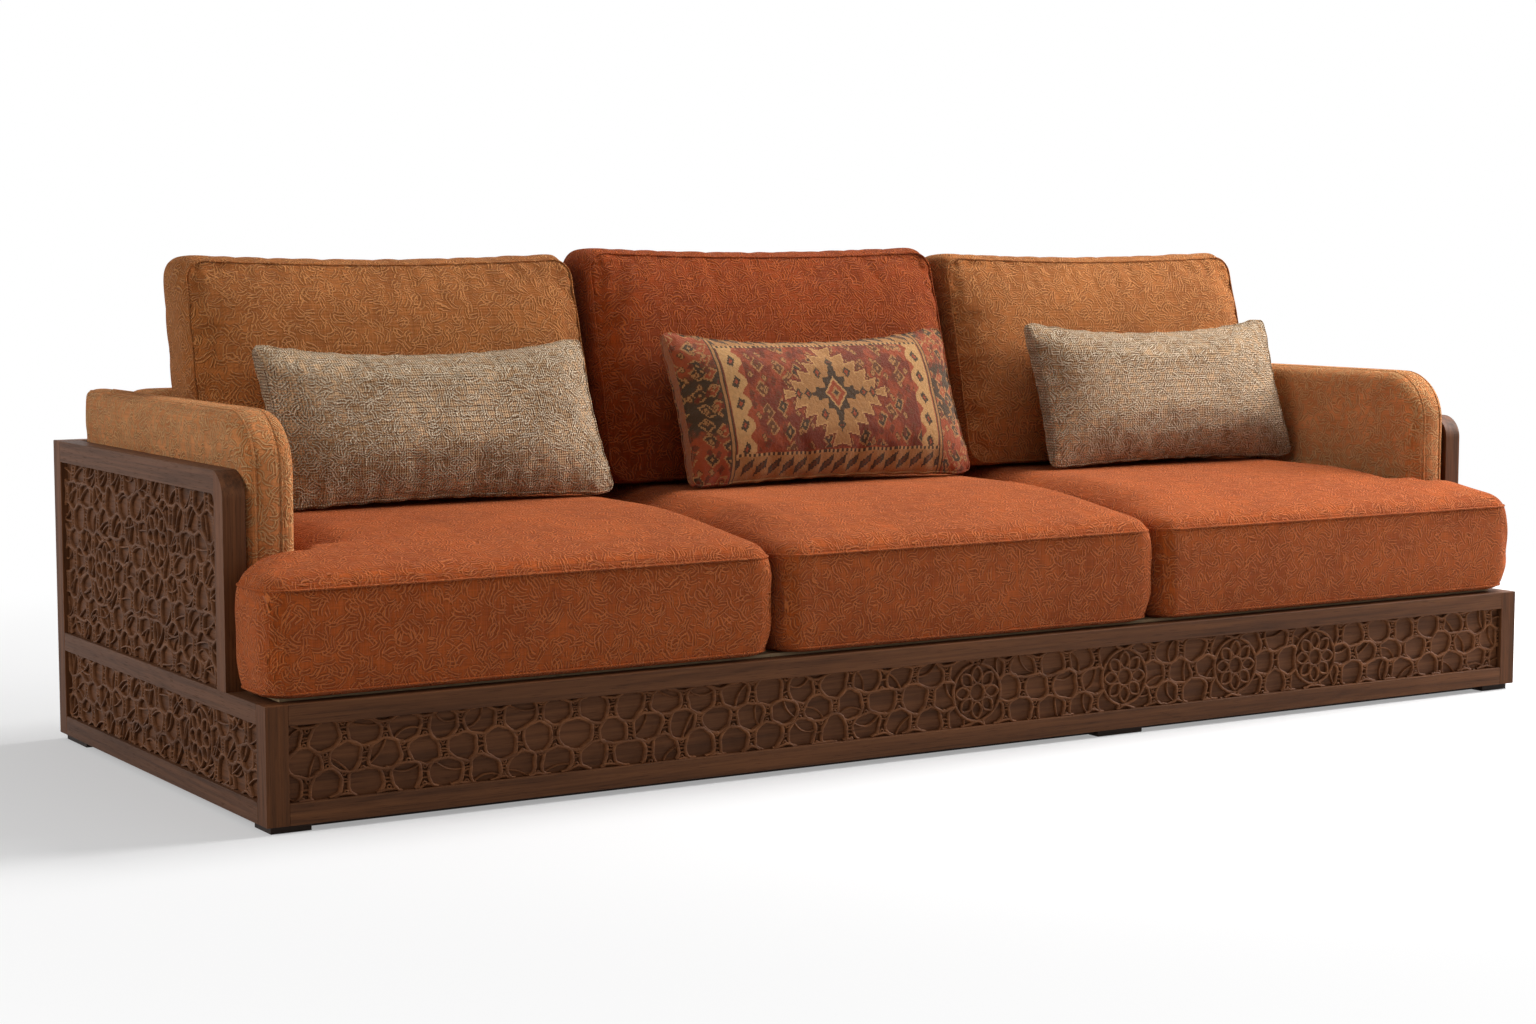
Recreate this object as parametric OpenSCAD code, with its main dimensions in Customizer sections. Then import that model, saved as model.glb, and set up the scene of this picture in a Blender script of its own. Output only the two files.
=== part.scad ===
// Three seat lounge bench with a carved walnut plinth and arm frames,
// a padded arm and back wrap, loose seat and back cushions and lumbar pillows.
// Millimetres. X runs across the front, Y from the front to the rear, Z up.
// The origin is on the floor, under the middle of the piece.

/* [Overall size] */
// Width over the two side frames
body_w = 2720; // [2300:10:3200]
// Depth from the front rail to the rear frame
body_d = 1015; // [960:5:1080]
// Height of the plinth from the underside of the bottom rail to the top rail
plinth_h = 190; // [170:1:230]
// Height of the arm frames above the plinth
arm_h = 352; // [320:1:400]
// Distance of the arm frames behind the front of the plinth
arm_setback = 165; // [140:1:190]

/* [Timber frame] */
// Thickness of every post, rail and stile
member = 38; // [32:1:44]
// Height of the plinth's top rails
top_rail_h = 33; // [28:1:40]
// Height of the plinth's bottom rails
bottom_rail_h = 35; // [28:1:42]
// Height of the top rails of the arms and the back
arm_rail_h = 38; // [32:1:46]
// Width of the front stile of an arm, seen from the side
arm_stile_w = 38; // [32:1:42]
// Radius of the arm frame's upper front corner
arm_corner_r = 45; // [20:1:60]
// Radius inside that corner, at the carved panel
arm_inner_r = 14; // [8:1:20]
// Width of the two upright bars on the back
muntin_w = 60; // [40:1:90]

/* [Panels and carved lattice] */
// Depth of the lattice face behind the face of the frame
fret_inset = 6; // [4:0.5:8]
// Thickness of the carved lattice
fret_t = 7; // [5:0.5:9]
// Thickness of the board behind the lattice
board_t = 9; // [6:0.5:12]
// Depth of the groove that holds a board's edge
groove_d = 8; // [5:0.5:10]
// Clearance around a panel in its frame
panel_fit = 0.2; // [0.1:0.1:0.5]
// Distance between lattice cells along a row
cell_pitch = 68; // [60:1:84]
// Distance between rows of lattice cells
row_pitch = 41; // [36:1:48]
// Width of the carved ribs
rib_w = 4.5; // [4:0.5:7]
// How far the crossings of the ribs stray from an even grid
rib_stray = 5.5; // [0:0.5:6]
// Width of the plain margin around a lattice
fret_margin = 3; // [2:0.5:5]
// Width of the leaf shaped piercings between the cells of a row
leaf_w = 13; // [10:0.5:16]
// Radius of a rosette in the lattice
rosette_r = 50; // [44:1:52]
// Radius of the round eye of a rosette
rosette_eye_r = 14; // [11:0.5:16]

/* [Inner frame and feet] */
// Thickness of the bearers inside the plinth
bearer_t = 28; // [20:1:34]
// Height of the bearers inside the plinth
bearer_h = 96; // [70:1:110]
// Thickness of the seat decks
deck_t = 18; // [12:1:22]
// Height of the deck tops above the plinth
deck_lift = 5; // [3:0.5:8]
// Clearance between neighbouring decks
deck_gap = 0.6; // [0.3:0.1:3]
// Radius of the air holes in a deck
vent_r = 15; // [10:1:20]
// Distance between the air holes in a deck
vent_pitch = 150; // [130:5:180]
// Height of the feet
foot_h = 12; // [9:1:18]
// Distance of the feet from the outside of the plinth
foot_inset = 10; // [6:1:16]
// Width of the feet
foot_w = 68; // [56:1:80]
// Length of the rear feet along the sides
rear_foot_l = 110; // [90:1:130]
// Length of the feet between the corners
mid_foot_l = 105; // [80:1:130]
// Distance of the feet between the corners from the middle of the piece
mid_foot_x = 333; // [250:1:400]
// Height of the recessed strip under the front rail
toe_h = 8; // [5:0.5:8.5]
// Thickness of the recessed strip under the front rail
toe_t = 12; // [8:0.5:16]
// Distance of the recessed strip behind the front of the plinth
toe_inset = 22; // [20:1:28]

/* [Arm and back pads] */
// Thickness of the padding inside the arm frames
pad_t = 92; // [80:1:104]
// Thickness of the padding inside the back frame
back_pad_t = 110; // [90:1:130]
// Height of the padding above the arm frames
pad_rise = 92; // [70:1:110]
// Radius of the padding's upper front corner, seen from the side
pad_corner_r = 100; // [70:1:130]
// Radius of the padding's outer edges
pad_edge_r = 22; // [14:1:28]
// Radius of the padding's inner edges
pad_inner_r = 30; // [20:1:36]
// Radius of the padding's rear corner, seen from above
pad_rear_r = 44; // [30:1:60]
// Clearance between the padding and its neighbours
pad_gap = 0.4; // [0.3:0.1:0.8]

/* [Seat cushions] */
// Width of the middle seat cushion
seat_mid_w = 840; // [700:5:1000]
// Height of a seat cushion's side band from the lower to the upper seam
seat_band_h = 162; // [140:1:180]
// Height from the deck to the lower seam
seat_foot_h = 9; // [6:0.5:12]
// Rise of the seat above its upper seam
seat_crown = 75; // [50:1:90]
// Distance over which the seat rises behind its front seam
seat_front_reach = 350; // [250:5:400]
// Distance over which the seat rises from its side and rear seams
seat_side_reach = 104; // [80:4:140]
// How far the seams are drawn in behind the fullest part of the band
seam_draw = 5; // [3:0.5:8]
// How far the underside is drawn in at its edges
seat_under_draw = 14; // [10:0.5:18]
// Radius of the seat cushions' upright corners
seat_corner_r = 34; // [24:1:44]
// Clearance between loose cushions and their neighbours
cushion_gap = 0.4; // [0.3:0.1:1]

/* [Back cushions] */
// Height of the outer back cushions
back_h = 440; // [400:1:470]
// Extra height of the middle back cushion
back_mid_extra = 12; // [0:1:30]
// Thickness of a back cushion between its seams
back_t = 158; // [140:1:175]
// Swell of a back cushion's front face
back_front_crown = 24; // [14:1:34]
// Swell of a back cushion's rear face
back_rear_crown = 40; // [20:1:45]
// Distance over which a back cushion swells from its seams
back_reach = 150; // [100:5:180]
// Lean of the back cushions
back_lean = 15; // [12:0.5:18]
// Sag of the top edge of a back cushion between its corners
back_sag = 11; // [5:1:20]
// How far each side of a back cushion leans in by its top
back_taper = 12; // [4:1:20]
// Radius of the back cushions' corners
back_corner_r = 30; // [20:1:40]

/* [Pillows] */
// Width of a pillow, as a share of an outer back cushion's width
pillow_w_share = 0.8; // [0.7:0.01:0.84]
// Height of a pillow
pillow_h = 312; // [280:2:330]
// Thickness of a pillow in its middle
pillow_t = 118; // [90:2:124]
// Thickness of the sewn edge of a pillow
pillow_edge = 7; // [5:0.5:9]
// How far the upper edge of a pillow is drawn in
pillow_draw = 17; // [8:1:24]
// How far the short edges of a pillow are drawn in
pillow_end_draw = 11; // [5:1:18]
// Lean of the left pillow
left_pillow_lean = 26; // [20:0.5:28]
// Lean of the middle pillow
mid_pillow_lean = 22; // [20:0.5:28]
// Lean of the right pillow
right_pillow_lean = 19; // [18:0.5:28]
// Place of the left pillow in its spare room, from the arm inwards
left_pillow_share = 0.65; // [0:0.01:1]
// Shift of the middle pillow to the right, as a share of its seat
mid_pillow_share = 0.026; // [-0.08:0.002:0.08]
// Place of the right pillow in its spare room, from the arm inwards
right_pillow_share = 0.11; // [0:0.01:1]

/* [Hidden] */

// One named overrun serves every cut
over = 1;
// Heights from the floor
plinth_top = foot_h + plinth_h;
arm_top = plinth_top + arm_h;
panel_low = foot_h + bottom_rail_h;
panel_h = plinth_h - bottom_rail_h - top_rail_h;
deck_top = plinth_top + deck_lift;
bearer_low = deck_top - deck_t - bearer_h;
// Openings in the frames that hold the carved panels
front_open_w = body_w - 2 * member;
side_open_w = body_d - 2 * member;
arm_open_w = body_d - arm_setback - arm_stile_w - member;
arm_open_h = arm_h - arm_rail_h;
board_inset = fret_inset + fret_t;
// Faces of the padding
pad_h = arm_top + pad_rise - deck_top - pad_gap;
arm_pad_l = body_d - arm_setback - member - 2 * pad_gap;
pad_face = member + pad_gap + pad_t;
back_face = body_d - member - pad_gap - back_pad_t;
// Seat cushions
seat_low = deck_top + cushion_gap;
seat_seam = seat_low + seat_foot_h + seat_band_h;
seat_top = seat_seam + seat_crown;
seat_out_w = (body_w - seat_mid_w) / 2;
ear_w = pad_face + cushion_gap;
ear_d = arm_setback - cushion_gap - pad_gap;
seat_d = back_face - cushion_gap;
// Back cushions stand on the seats and lean over the padding
back_low = seat_top + cushion_gap;
lean_run = tan(back_lean);
back_front = back_face - cushion_gap - back_t - back_rear_crown
    - lean_run * (arm_top + pad_rise - back_low);
back_out_w = seat_out_w - pad_face;
// Pillows stand on the seats and lean on the back cushions
pillow_low = seat_top + cushion_gap;
pillow_w = back_out_w * pillow_w_share;
pillow_spare = back_out_w - pillow_w;
left_pillow_x = pad_face + pillow_w / 2 + pillow_spare * left_pillow_share;
mid_pillow_x = body_w / 2 + seat_mid_w * mid_pillow_share;
right_pillow_x = body_w - pad_face - pillow_w / 2
    - pillow_spare * right_pillow_share;

// Shares that place the stations along a soft edge
edge_shares = [0, 0.4, 1];
arc_shares = [0, 0.08, 0.3, 0.62, 1];
reach_shares = [0.35, 0.68, 1];
band_shares = [0.28, 0.72];
round_share = 0.31;
puff_share = 0.6;
least_share = 0.12;
mid_share = 0.5;
third_share = 1 / 3;
two_thirds_share = 2 / 3;

// Everything is drawn from the front left corner on the floor
module placed() {
    translate([-body_w / 2, -body_d / 2, 0]) children();
}

// The right side is the left side seen in a mirror
module right_side() {
    translate([body_w, 0, 0]) mirror([1, 0, 0]) children();
}

// A panel is drawn flat, then stood up behind the front face
module on_front(x, z) {
    translate([x, 0, z]) rotate([90, 0, 0]) children();
}

// A panel for the left side, its first edge towards the front
module on_left(y, z) {
    translate([0, y, z]) rotate([90, 0, 90]) children();
}

// Carved lattice

// A steady stray between minus one and one for each crossing of the ribs
stir_shares = [127.1, 311.7, 74.7, 43758.5];
function stray(i, j, k) =
    let (s = sin(i * stir_shares[0] + j * stir_shares[1]
        + k * stir_shares[2]) * stir_shares[3])
    2 * (s - floor(s)) - 1;
function moved(p, i, j, k) =
    p + rib_stray * [stray(i, j, k), stray(j, k + 2, i)];

function cell_x(i, j) = (i + (j % 2 == 0 ? 0 : mid_share)) * cell_pitch;
// The crossing above the middle of a cell, and the one below it
function upper(i, j, o) =
    o + moved([cell_x(i, j), (j + two_thirds_share) * row_pitch], i, j, 0);
function lower(i, j, o) =
    o + moved([cell_x(i, j), (j - two_thirds_share) * row_pitch], i, j, 1);
// Column of the neighbour to the left in the rows above and below
function left_of(i, j) = j % 2 == 0 ? i - 1 : i;
function cell_corners(i, j, o) = let (l = left_of(i, j)) [
    lower(i, j, o),
    upper(l + 1, j - 1, o),
    lower(l + 1, j + 1, o),
    upper(i, j, o),
    lower(l, j + 1, o),
    upper(l, j - 1, o)];

function unit(v) = v / norm(v);
function left_normal(a, b) = let (u = unit(b - a)) [-u[1], u[0]];
// Moves side k of a cell inwards by d[k]
function shrunk(p, d) = let (n = len(p)) [
    for (k = [0 : n - 1])
        let (e = (k + n - 1) % n,
            a = left_normal(p[e], p[k]),
            b = left_normal(p[k], p[(k + 1) % n]),
            c = a * b)
        p[k] + (d[e] * (a - c * b) + d[k] * (b - c * a)) / (1 - c * c)];
// A cell leaves half a rib at its sloping sides, and room for a leaf
// shaped piercing at its upright sides
cell_sides = [rib_w / 2, rib_w + leaf_w / 2, rib_w / 2,
    rib_w / 2, rib_w + leaf_w / 2, rib_w / 2];
// Cuts every corner, so that a cell becomes round
function rounded(p) = let (n = len(p)) [
    for (k = [0 : n - 1])
        for (q = [p[(k + n - 1) % n], p[(k + 1) % n]])
            p[k] + (q - p[k]) * round_share];

// Keeps a point inside the margin of the panel and its one round corner
function inside(p, w, h, r) =
    let (x = max(fret_margin, min(w - fret_margin, p[0])),
        y = max(fret_margin, min(h - fret_margin, p[1])),
        v = [x - r, y - (h - r)],
        n = norm(v))
    x < r && y > h - r && n > r - fret_margin
        ? [r, h - r] + v * (r - fret_margin) / n : [x, y];
// Keeps a point outside the rosettes
function clear_of(p, eyes, k = 0) = k == len(eyes) ? p :
    let (v = p - eyes[k], n = norm(v), keep = rosette_r + rib_w / 2)
    clear_of(n < keep ? eyes[k] + v * keep / n : p, eyes, k + 1);
function nearest(p, eyes) =
    len(eyes) == 0 ? 2 * rosette_r : min([for (e = eyes) norm(p - e)]);
function kept(p, least) = let (n = len(p)) [
    for (k = [0 : n - 1]) if (norm(p[k] - p[(k + 1) % n]) > least) p[k]];
function spread(p, k) =
    max([for (q = p) q[k]]) - min([for (q = p) q[k]]);
// Twice the area of an outline
function doubled_area(p) = let (n = len(p)) abs([
    for (k = [0 : n - 1]) cross(p[k], p[(k + 1) % n])]
    * [for (k = p) 1]);

// A carved panel: the plain sheet less its cells, piercings and rosettes,
// which take the place of the cells named by column and row in eye_cells.
// row_shift lifts the middle row above the middle of the panel.
module lattice(w, h, r, eye_cells, row_shift) {
    rows = ceil(h / row_pitch / 2);
    columns = ceil(w / cell_pitch / 2) + 1;
    middle = [w / 2, h / 2 + row_shift];
    eyes = [for (e = eye_cells)
        middle + [cell_x(e[0], e[1]), e[1] * row_pitch]];
    least = rib_w * least_share;
    linear_extrude(fret_t)
        difference() {
            panel_sheet(w, h, r);
            for (j = [-rows : rows], i = [-columns : columns]) {
                at = middle + [cell_x(i, j), j * row_pitch];
                whole = rounded(shrunk(cell_corners(i, j, middle), cell_sides));
                cell = kept([for (p = whole)
                    inside(clear_of(p, eyes), w, h, r)], least);
                if (at[0] > 0 && at[0] < w && at[1] > 0 && at[1] < h
                    && nearest(at, eyes) > rosette_r && len(cell) > 3
                    && spread(cell, 0) > 2 * rib_w
                    && spread(cell, 1) > rib_w
                    && doubled_area(cell) > rib_w * row_pitch)
                    polygon(cell);
                leaf_piercing(
                    upper(left_of(i, j), j - 1, middle),
                    lower(left_of(i, j), j + 1, middle), w, h, r, eyes);
            }
            for (e = eyes) translate(e) rosette();
        }
}

module panel_sheet(w, h, r) {
    union() {
        translate([r, 0]) square([w - r, h]);
        square([w, h - r]);
        translate([r, h - r]) circle(r, $fn = 48);
    }
}

// A pointed leaf along the rib between two crossings
module leaf_piercing(a, b, w, h, r, eyes) {
    half = leaf_w / 2;
    up = unit(b - a);
    out = [-up[1], up[0]];
    tip = norm(b - a) / 2 - rib_w * mid_share;
    outline = [for (p = [[-1, 0], [-third_share, 1], [third_share, 1],
        [1, 0], [third_share, -1], [-third_share, -1]])
        (a + b) / 2 + up * tip * p[0] - out * half * p[1]];
    leaf = kept([for (p = outline)
        inside(clear_of(p, eyes), w, h, r)],
        rib_w * least_share);
    if (nearest((a + b) / 2, eyes) > rosette_r && len(leaf) > 3
        && doubled_area(leaf) > rib_w * leaf_w)
        polygon(leaf);
}

// A round eye with eight kite petals and eight small darts between them
module rosette() {
    petal_in = rosette_eye_r + rib_w * mid_share;
    petal_out = rosette_r - rib_w / 2;
    wide_at = petal_in + (petal_out - petal_in) * mid_share;
    half_w = wide_at * tan(180 / 8) - rib_w / 2;
    dart_in = wide_at + rib_w;
    circle(rosette_eye_r, $fn = 36);
    for (k = [0 : 7]) rotate(k * 360 / 8) {
        polygon([[petal_in, 0], [wide_at, -half_w],
            [petal_out, 0], [wide_at, half_w]]);
        rotate(360 / 16)
            polygon([[dart_in, 0],
                [petal_out, -rib_w * two_thirds_share],
                [petal_out, rib_w * two_thirds_share]]);
    }
}

// Timber frame

module front_board_block(c) {
    translate([member - groove_d - c, board_inset - c,
        panel_low - groove_d - c])
        cube([front_open_w + 2 * (groove_d + c), board_t + 2 * c,
            panel_h + 2 * (groove_d + c)]);
}

module side_board_block(c) {
    translate([board_inset - c, member - groove_d - c,
        panel_low - groove_d - c])
        cube([board_t + 2 * c, side_open_w + 2 * (groove_d + c),
            panel_h + 2 * (groove_d + c)]);
}

module arm_board_block(c) {
    translate([board_inset - c, arm_setback + arm_stile_w - groove_d - c,
        plinth_top - groove_d - c])
        cube([board_t + 2 * c, arm_open_w + 2 * (groove_d + c),
            arm_open_h + 2 * (groove_d + c)]);
}

module back_base_board_block(c) {
    translate([member - groove_d - c,
        body_d - board_inset - board_t - c, panel_low - groove_d - c])
        cube([front_open_w + 2 * (groove_d + c), board_t + 2 * c,
            panel_h + 2 * (groove_d + c)]);
}

module back_board_block(c) {
    translate([member - groove_d - c,
        body_d - board_inset - board_t - c, plinth_top - groove_d - c])
        cube([front_open_w + 2 * (groove_d + c), board_t + 2 * c,
            arm_open_h + 2 * (groove_d + c)]);
}

// Front corner post of the plinth, grooved for the two carved panels
module front_left_post() {
    color([0.30, 0.19, 0.12]) placed() front_post();
}

module front_right_post() {
    color([0.30, 0.19, 0.12]) placed() right_side() front_post();
}

module front_post() {
    difference() {
        translate([0, 0, foot_h]) cube([member, member, plinth_h]);
        front_board_block(panel_fit);
        side_board_block(panel_fit);
    }
}

// Rear corner post, in one length from the plinth to the arm top
module rear_left_post() {
    color([0.30, 0.19, 0.12]) placed() rear_post();
}

module rear_right_post() {
    color([0.30, 0.19, 0.12]) placed() right_side() rear_post();
}

module rear_post() {
    difference() {
        translate([0, body_d - member, foot_h])
            cube([member, member, plinth_h + arm_h]);
        side_board_block(panel_fit);
        arm_board_block(panel_fit);
        back_base_board_block(panel_fit);
        back_board_block(panel_fit);
    }
}

// Rails between the front posts
module front_top_rail() {
    color([0.32, 0.20, 0.13]) placed() difference() {
        translate([member, 0, plinth_top - top_rail_h])
            cube([front_open_w, member, top_rail_h]);
        front_board_block(panel_fit);
    }
}

module front_bottom_rail() {
    color([0.32, 0.20, 0.13]) placed() difference() {
        translate([member, 0, foot_h])
            cube([front_open_w, member, bottom_rail_h]);
        front_board_block(panel_fit);
    }
}

module front_board() {
    color([0.26, 0.16, 0.10]) placed() front_board_block(0);
}

// Carved band along the front
module front_fret() {
    color([0.34, 0.21, 0.14]) placed()
        translate([0, board_inset, 0])
            on_front(member + panel_fit, panel_low + panel_fit)
                lattice(front_open_w - 2 * panel_fit,
                    panel_h - 2 * panel_fit, fret_margin,
                    front_eyes, 0);
}
front_eyes = [[0, 0], [5, 0], [9, 0], [12, 0]];

// Side frames of the plinth
module base_top_rail() {
    difference() {
        translate([0, member, plinth_top - top_rail_h])
            cube([member, side_open_w, top_rail_h]);
        side_board_block(panel_fit);
        arm_board_block(panel_fit);
    }
}

module base_bottom_rail() {
    difference() {
        translate([0, member, foot_h])
            cube([member, side_open_w, bottom_rail_h]);
        side_board_block(panel_fit);
    }
}

module base_fret() {
    translate([fret_inset, 0, 0])
        on_left(member + panel_fit, panel_low + panel_fit)
            lattice(side_open_w - 2 * panel_fit,
                panel_h - 2 * panel_fit, fret_margin,
                side_eyes, 0);
}
side_eyes = [[-3, 0]];

module left_base_top_rail() {
    color([0.32, 0.21, 0.14]) placed() base_top_rail();
}

module left_base_bottom_rail() {
    color([0.32, 0.21, 0.14]) placed() base_bottom_rail();
}

module left_base_board() {
    color([0.26, 0.16, 0.10]) placed() side_board_block(0);
}

module left_base_fret() {
    color([0.34, 0.22, 0.15]) placed() base_fret();
}

module right_base_top_rail() {
    color([0.32, 0.21, 0.14]) placed() right_side() base_top_rail();
}

module right_base_bottom_rail() {
    color([0.32, 0.21, 0.14]) placed() right_side() base_bottom_rail();
}

module right_base_board() {
    color([0.26, 0.16, 0.10]) placed() right_side() side_board_block(0);
}

module right_base_fret() {
    color([0.34, 0.22, 0.15]) placed() right_side() base_fret();
}

// Arm frames: one outline, cut where the stile meets the top rail
module arm_outline() {
    l = body_d - arm_setback - member;
    union() {
        translate([arm_corner_r, 0]) square([l - arm_corner_r, arm_h]);
        square([l, arm_h - arm_corner_r]);
        translate([arm_corner_r, arm_h - arm_corner_r])
            circle(arm_corner_r, $fn = 72);
    }
}

module arm_timber(from, to, low) {
    translate([0, arm_setback, plinth_top]) rotate([90, 0, 90])
        linear_extrude(member)
            intersection() {
                difference() {
                    arm_outline();
                    translate([arm_stile_w, -over])
                        panel_opening(arm_open_w + over, arm_open_h + over);
                }
                translate([from, low]) square([to - from, arm_h]);
            }
}

module panel_opening(w, h) {
    union() {
        translate([arm_inner_r, 0]) square([w - arm_inner_r, h]);
        square([w, h - arm_inner_r]);
        translate([arm_inner_r, h - arm_inner_r])
            circle(arm_inner_r, $fn = 48);
    }
}

module arm_stile() {
    difference() {
        arm_timber(0, arm_stile_w, 0);
        arm_board_block(panel_fit);
    }
}

module arm_top_rail() {
    difference() {
        arm_timber(arm_stile_w, body_d - arm_setback - member, 0);
        arm_board_block(panel_fit);
    }
}

module arm_fret() {
    translate([fret_inset, 0, 0])
        on_left(arm_setback + arm_stile_w + panel_fit,
            plinth_top + panel_fit)
            lattice(arm_open_w - 2 * panel_fit,
                arm_open_h - 2 * panel_fit, arm_inner_r,
                arm_eyes, row_pitch / 2);
}
arm_eyes = [[-2, 1], [2, -1]];

module left_arm_stile() {
    color([0.29, 0.18, 0.12]) placed() arm_stile();
}

module left_arm_top_rail() {
    color([0.31, 0.20, 0.13]) placed() arm_top_rail();
}

module left_arm_board() {
    color([0.26, 0.16, 0.10]) placed() arm_board_block(0);
}

module left_arm_fret() {
    color([0.34, 0.22, 0.15]) placed() arm_fret();
}

module right_arm_stile() {
    color([0.29, 0.18, 0.12]) placed() right_side() arm_stile();
}

module right_arm_top_rail() {
    color([0.31, 0.20, 0.13]) placed() right_side() arm_top_rail();
}

module right_arm_board() {
    color([0.26, 0.16, 0.10]) placed() right_side() arm_board_block(0);
}

module right_arm_fret() {
    color([0.34, 0.22, 0.15]) placed() right_side() arm_fret();
}

// Back frame: plain boards behind two upright bars
module back_mid_rail() {
    color([0.32, 0.21, 0.14]) placed() difference() {
        translate([member, body_d - member, plinth_top - top_rail_h])
            cube([front_open_w, member, top_rail_h]);
        back_base_board_block(panel_fit);
        back_board_block(panel_fit);
    }
}

module back_bottom_rail() {
    color([0.32, 0.21, 0.14]) placed() difference() {
        translate([member, body_d - member, foot_h])
            cube([front_open_w, member, bottom_rail_h]);
        back_base_board_block(panel_fit);
    }
}

module back_base_board() {
    color([0.28, 0.18, 0.12]) placed() back_base_board_block(0);
}

module back_top_rail() {
    color([0.32, 0.21, 0.14]) placed() difference() {
        translate([member, body_d - member, arm_top - arm_rail_h])
            cube([front_open_w, member, arm_rail_h]);
        back_board_block(panel_fit);
    }
}

module back_board() {
    color([0.28, 0.18, 0.12]) placed() back_board_block(0);
}

// An upright bar lies on the outside of the back board
module muntin(x) {
    translate([x - muntin_w / 2, body_d - board_inset + panel_fit,
        plinth_top])
        cube([muntin_w, board_inset - panel_fit, arm_open_h]);
}

module back_left_muntin() {
    color([0.31, 0.20, 0.13]) placed() muntin(seat_out_w);
}

module back_right_muntin() {
    color([0.31, 0.20, 0.13]) placed() muntin(body_w - seat_out_w);
}

// Inner frame

// Long bearers behind the front rails and before the rear rails
module front_bearer() {
    color([0.72, 0.58, 0.40]) placed()
        translate([member, member, bearer_low])
            cube([front_open_w, bearer_t, bearer_h]);
}

module rear_bearer() {
    color([0.72, 0.58, 0.40]) placed()
        translate([member, body_d - member - bearer_t, bearer_low])
            cube([front_open_w, bearer_t, bearer_h]);
}

// A bearer from front to rear, between the long ones
module short_bearer(x) {
    translate([x, member + bearer_t, bearer_low])
        cube([bearer_t, side_open_w - 2 * bearer_t, bearer_h]);
}

module left_bearer() {
    color([0.72, 0.58, 0.40]) placed() short_bearer(member);
}

module right_bearer() {
    color([0.72, 0.58, 0.40]) placed()
        short_bearer(body_w - member - bearer_t);
}

module left_cross_bearer() {
    color([0.70, 0.56, 0.38]) placed()
        short_bearer(seat_out_w - bearer_t / 2);
}

module middle_cross_bearer() {
    color([0.70, 0.56, 0.38]) placed()
        short_bearer(body_w / 2 - bearer_t / 2);
}

module right_cross_bearer() {
    color([0.70, 0.56, 0.38]) placed()
        short_bearer(body_w - seat_out_w - bearer_t / 2);
}

// A deck rests on the bearers, let into the rails, with rows of air holes
module deck(from, to) {
    w = to - from;
    d = body_d - 2 * member;
    columns = floor(w / vent_pitch) - 1;
    rows = floor(d / vent_pitch) - 1;
    translate([from, member, deck_top - deck_t])
        difference() {
            cube([w, d, deck_t]);
            for (i = [0 : columns - 1], j = [0 : rows - 1])
                translate([w / 2 + (i - (columns - 1) / 2) * vent_pitch,
                    d / 2 + (j - (rows - 1) / 2) * vent_pitch, -over])
                    cylinder(r = vent_r, h = deck_t + 2 * over, $fn = 36);
        }
}

module left_deck() {
    color([0.78, 0.66, 0.47]) placed()
        deck(member, seat_out_w - deck_gap / 2);
}

module middle_deck() {
    color([0.78, 0.66, 0.47]) placed()
        deck(seat_out_w + deck_gap / 2, body_w - seat_out_w - deck_gap / 2);
}

module right_deck() {
    color([0.78, 0.66, 0.47]) placed()
        deck(body_w - seat_out_w + deck_gap / 2, body_w - member);
}

// Feet and the strip behind them
module foot(x, y, w, l) {
    translate([x, y, 0]) cube([w, l, foot_h]);
}

module front_left_foot() {
    color([0.16, 0.10, 0.07]) placed()
        foot(foot_inset, foot_inset, foot_w, foot_w);
}

module front_right_foot() {
    color([0.16, 0.10, 0.07]) placed() right_side()
        foot(foot_inset, foot_inset, foot_w, foot_w);
}

module rear_left_foot() {
    color([0.16, 0.10, 0.07]) placed()
        foot(foot_inset, body_d - foot_inset - rear_foot_l,
            foot_w, rear_foot_l);
}

module rear_right_foot() {
    color([0.16, 0.10, 0.07]) placed() right_side()
        foot(foot_inset, body_d - foot_inset - rear_foot_l,
            foot_w, rear_foot_l);
}

module front_middle_foot() {
    color([0.16, 0.10, 0.07]) placed()
        foot(body_w / 2 + mid_foot_x - mid_foot_l / 2, foot_inset,
            mid_foot_l, member - foot_inset);
}

module rear_middle_foot() {
    color([0.16, 0.10, 0.07]) placed()
        foot(body_w / 2 + mid_foot_x - mid_foot_l / 2,
            body_d - member, mid_foot_l, member - foot_inset);
}

// The strip is in two lengths, left and right of the middle foot
module front_toe_strip() {
    from = foot_inset + foot_w;
    break_at = body_w / 2 + mid_foot_x - mid_foot_l / 2;
    start_at = break_at + mid_foot_l;
    color([0.12, 0.08, 0.06]) placed()
        for (s = [[from, break_at], [start_at, body_w - from]])
            translate([s[0], toe_inset, foot_h - toe_h])
                cube([s[1] - s[0], toe_t, toe_h]);
}

// Soft pieces

// How far an edge of radius r stands back at distance t from its face
function edge_back(t, r) = t >= r ? 0 : r - sqrt(r * r - (r - t) * (r - t));

// Joins rings of points into one closed solid of triangles
module ringed(rings) {
    n = len(rings[0]);
    m = len(rings);
    polyhedron(
        points = [for (r = rings) for (p = r) p],
        faces = concat(
            [for (k = [1 : n - 2]) [0, k, k + 1]],
            [for (k = [1 : n - 2])
                [(m - 1) * n, (m - 1) * n + k + 1, (m - 1) * n + k]],
            [for (g = [0 : m - 2], k = [0 : n - 1]) let (e = (k + 1) % n)
                [g * n + k, (g + 1) * n + k, (g + 1) * n + e]],
            [for (g = [0 : m - 2], k = [0 : n - 1]) let (e = (k + 1) % n)
                [g * n + k, (g + 1) * n + e, g * n + e]]));
}

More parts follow.
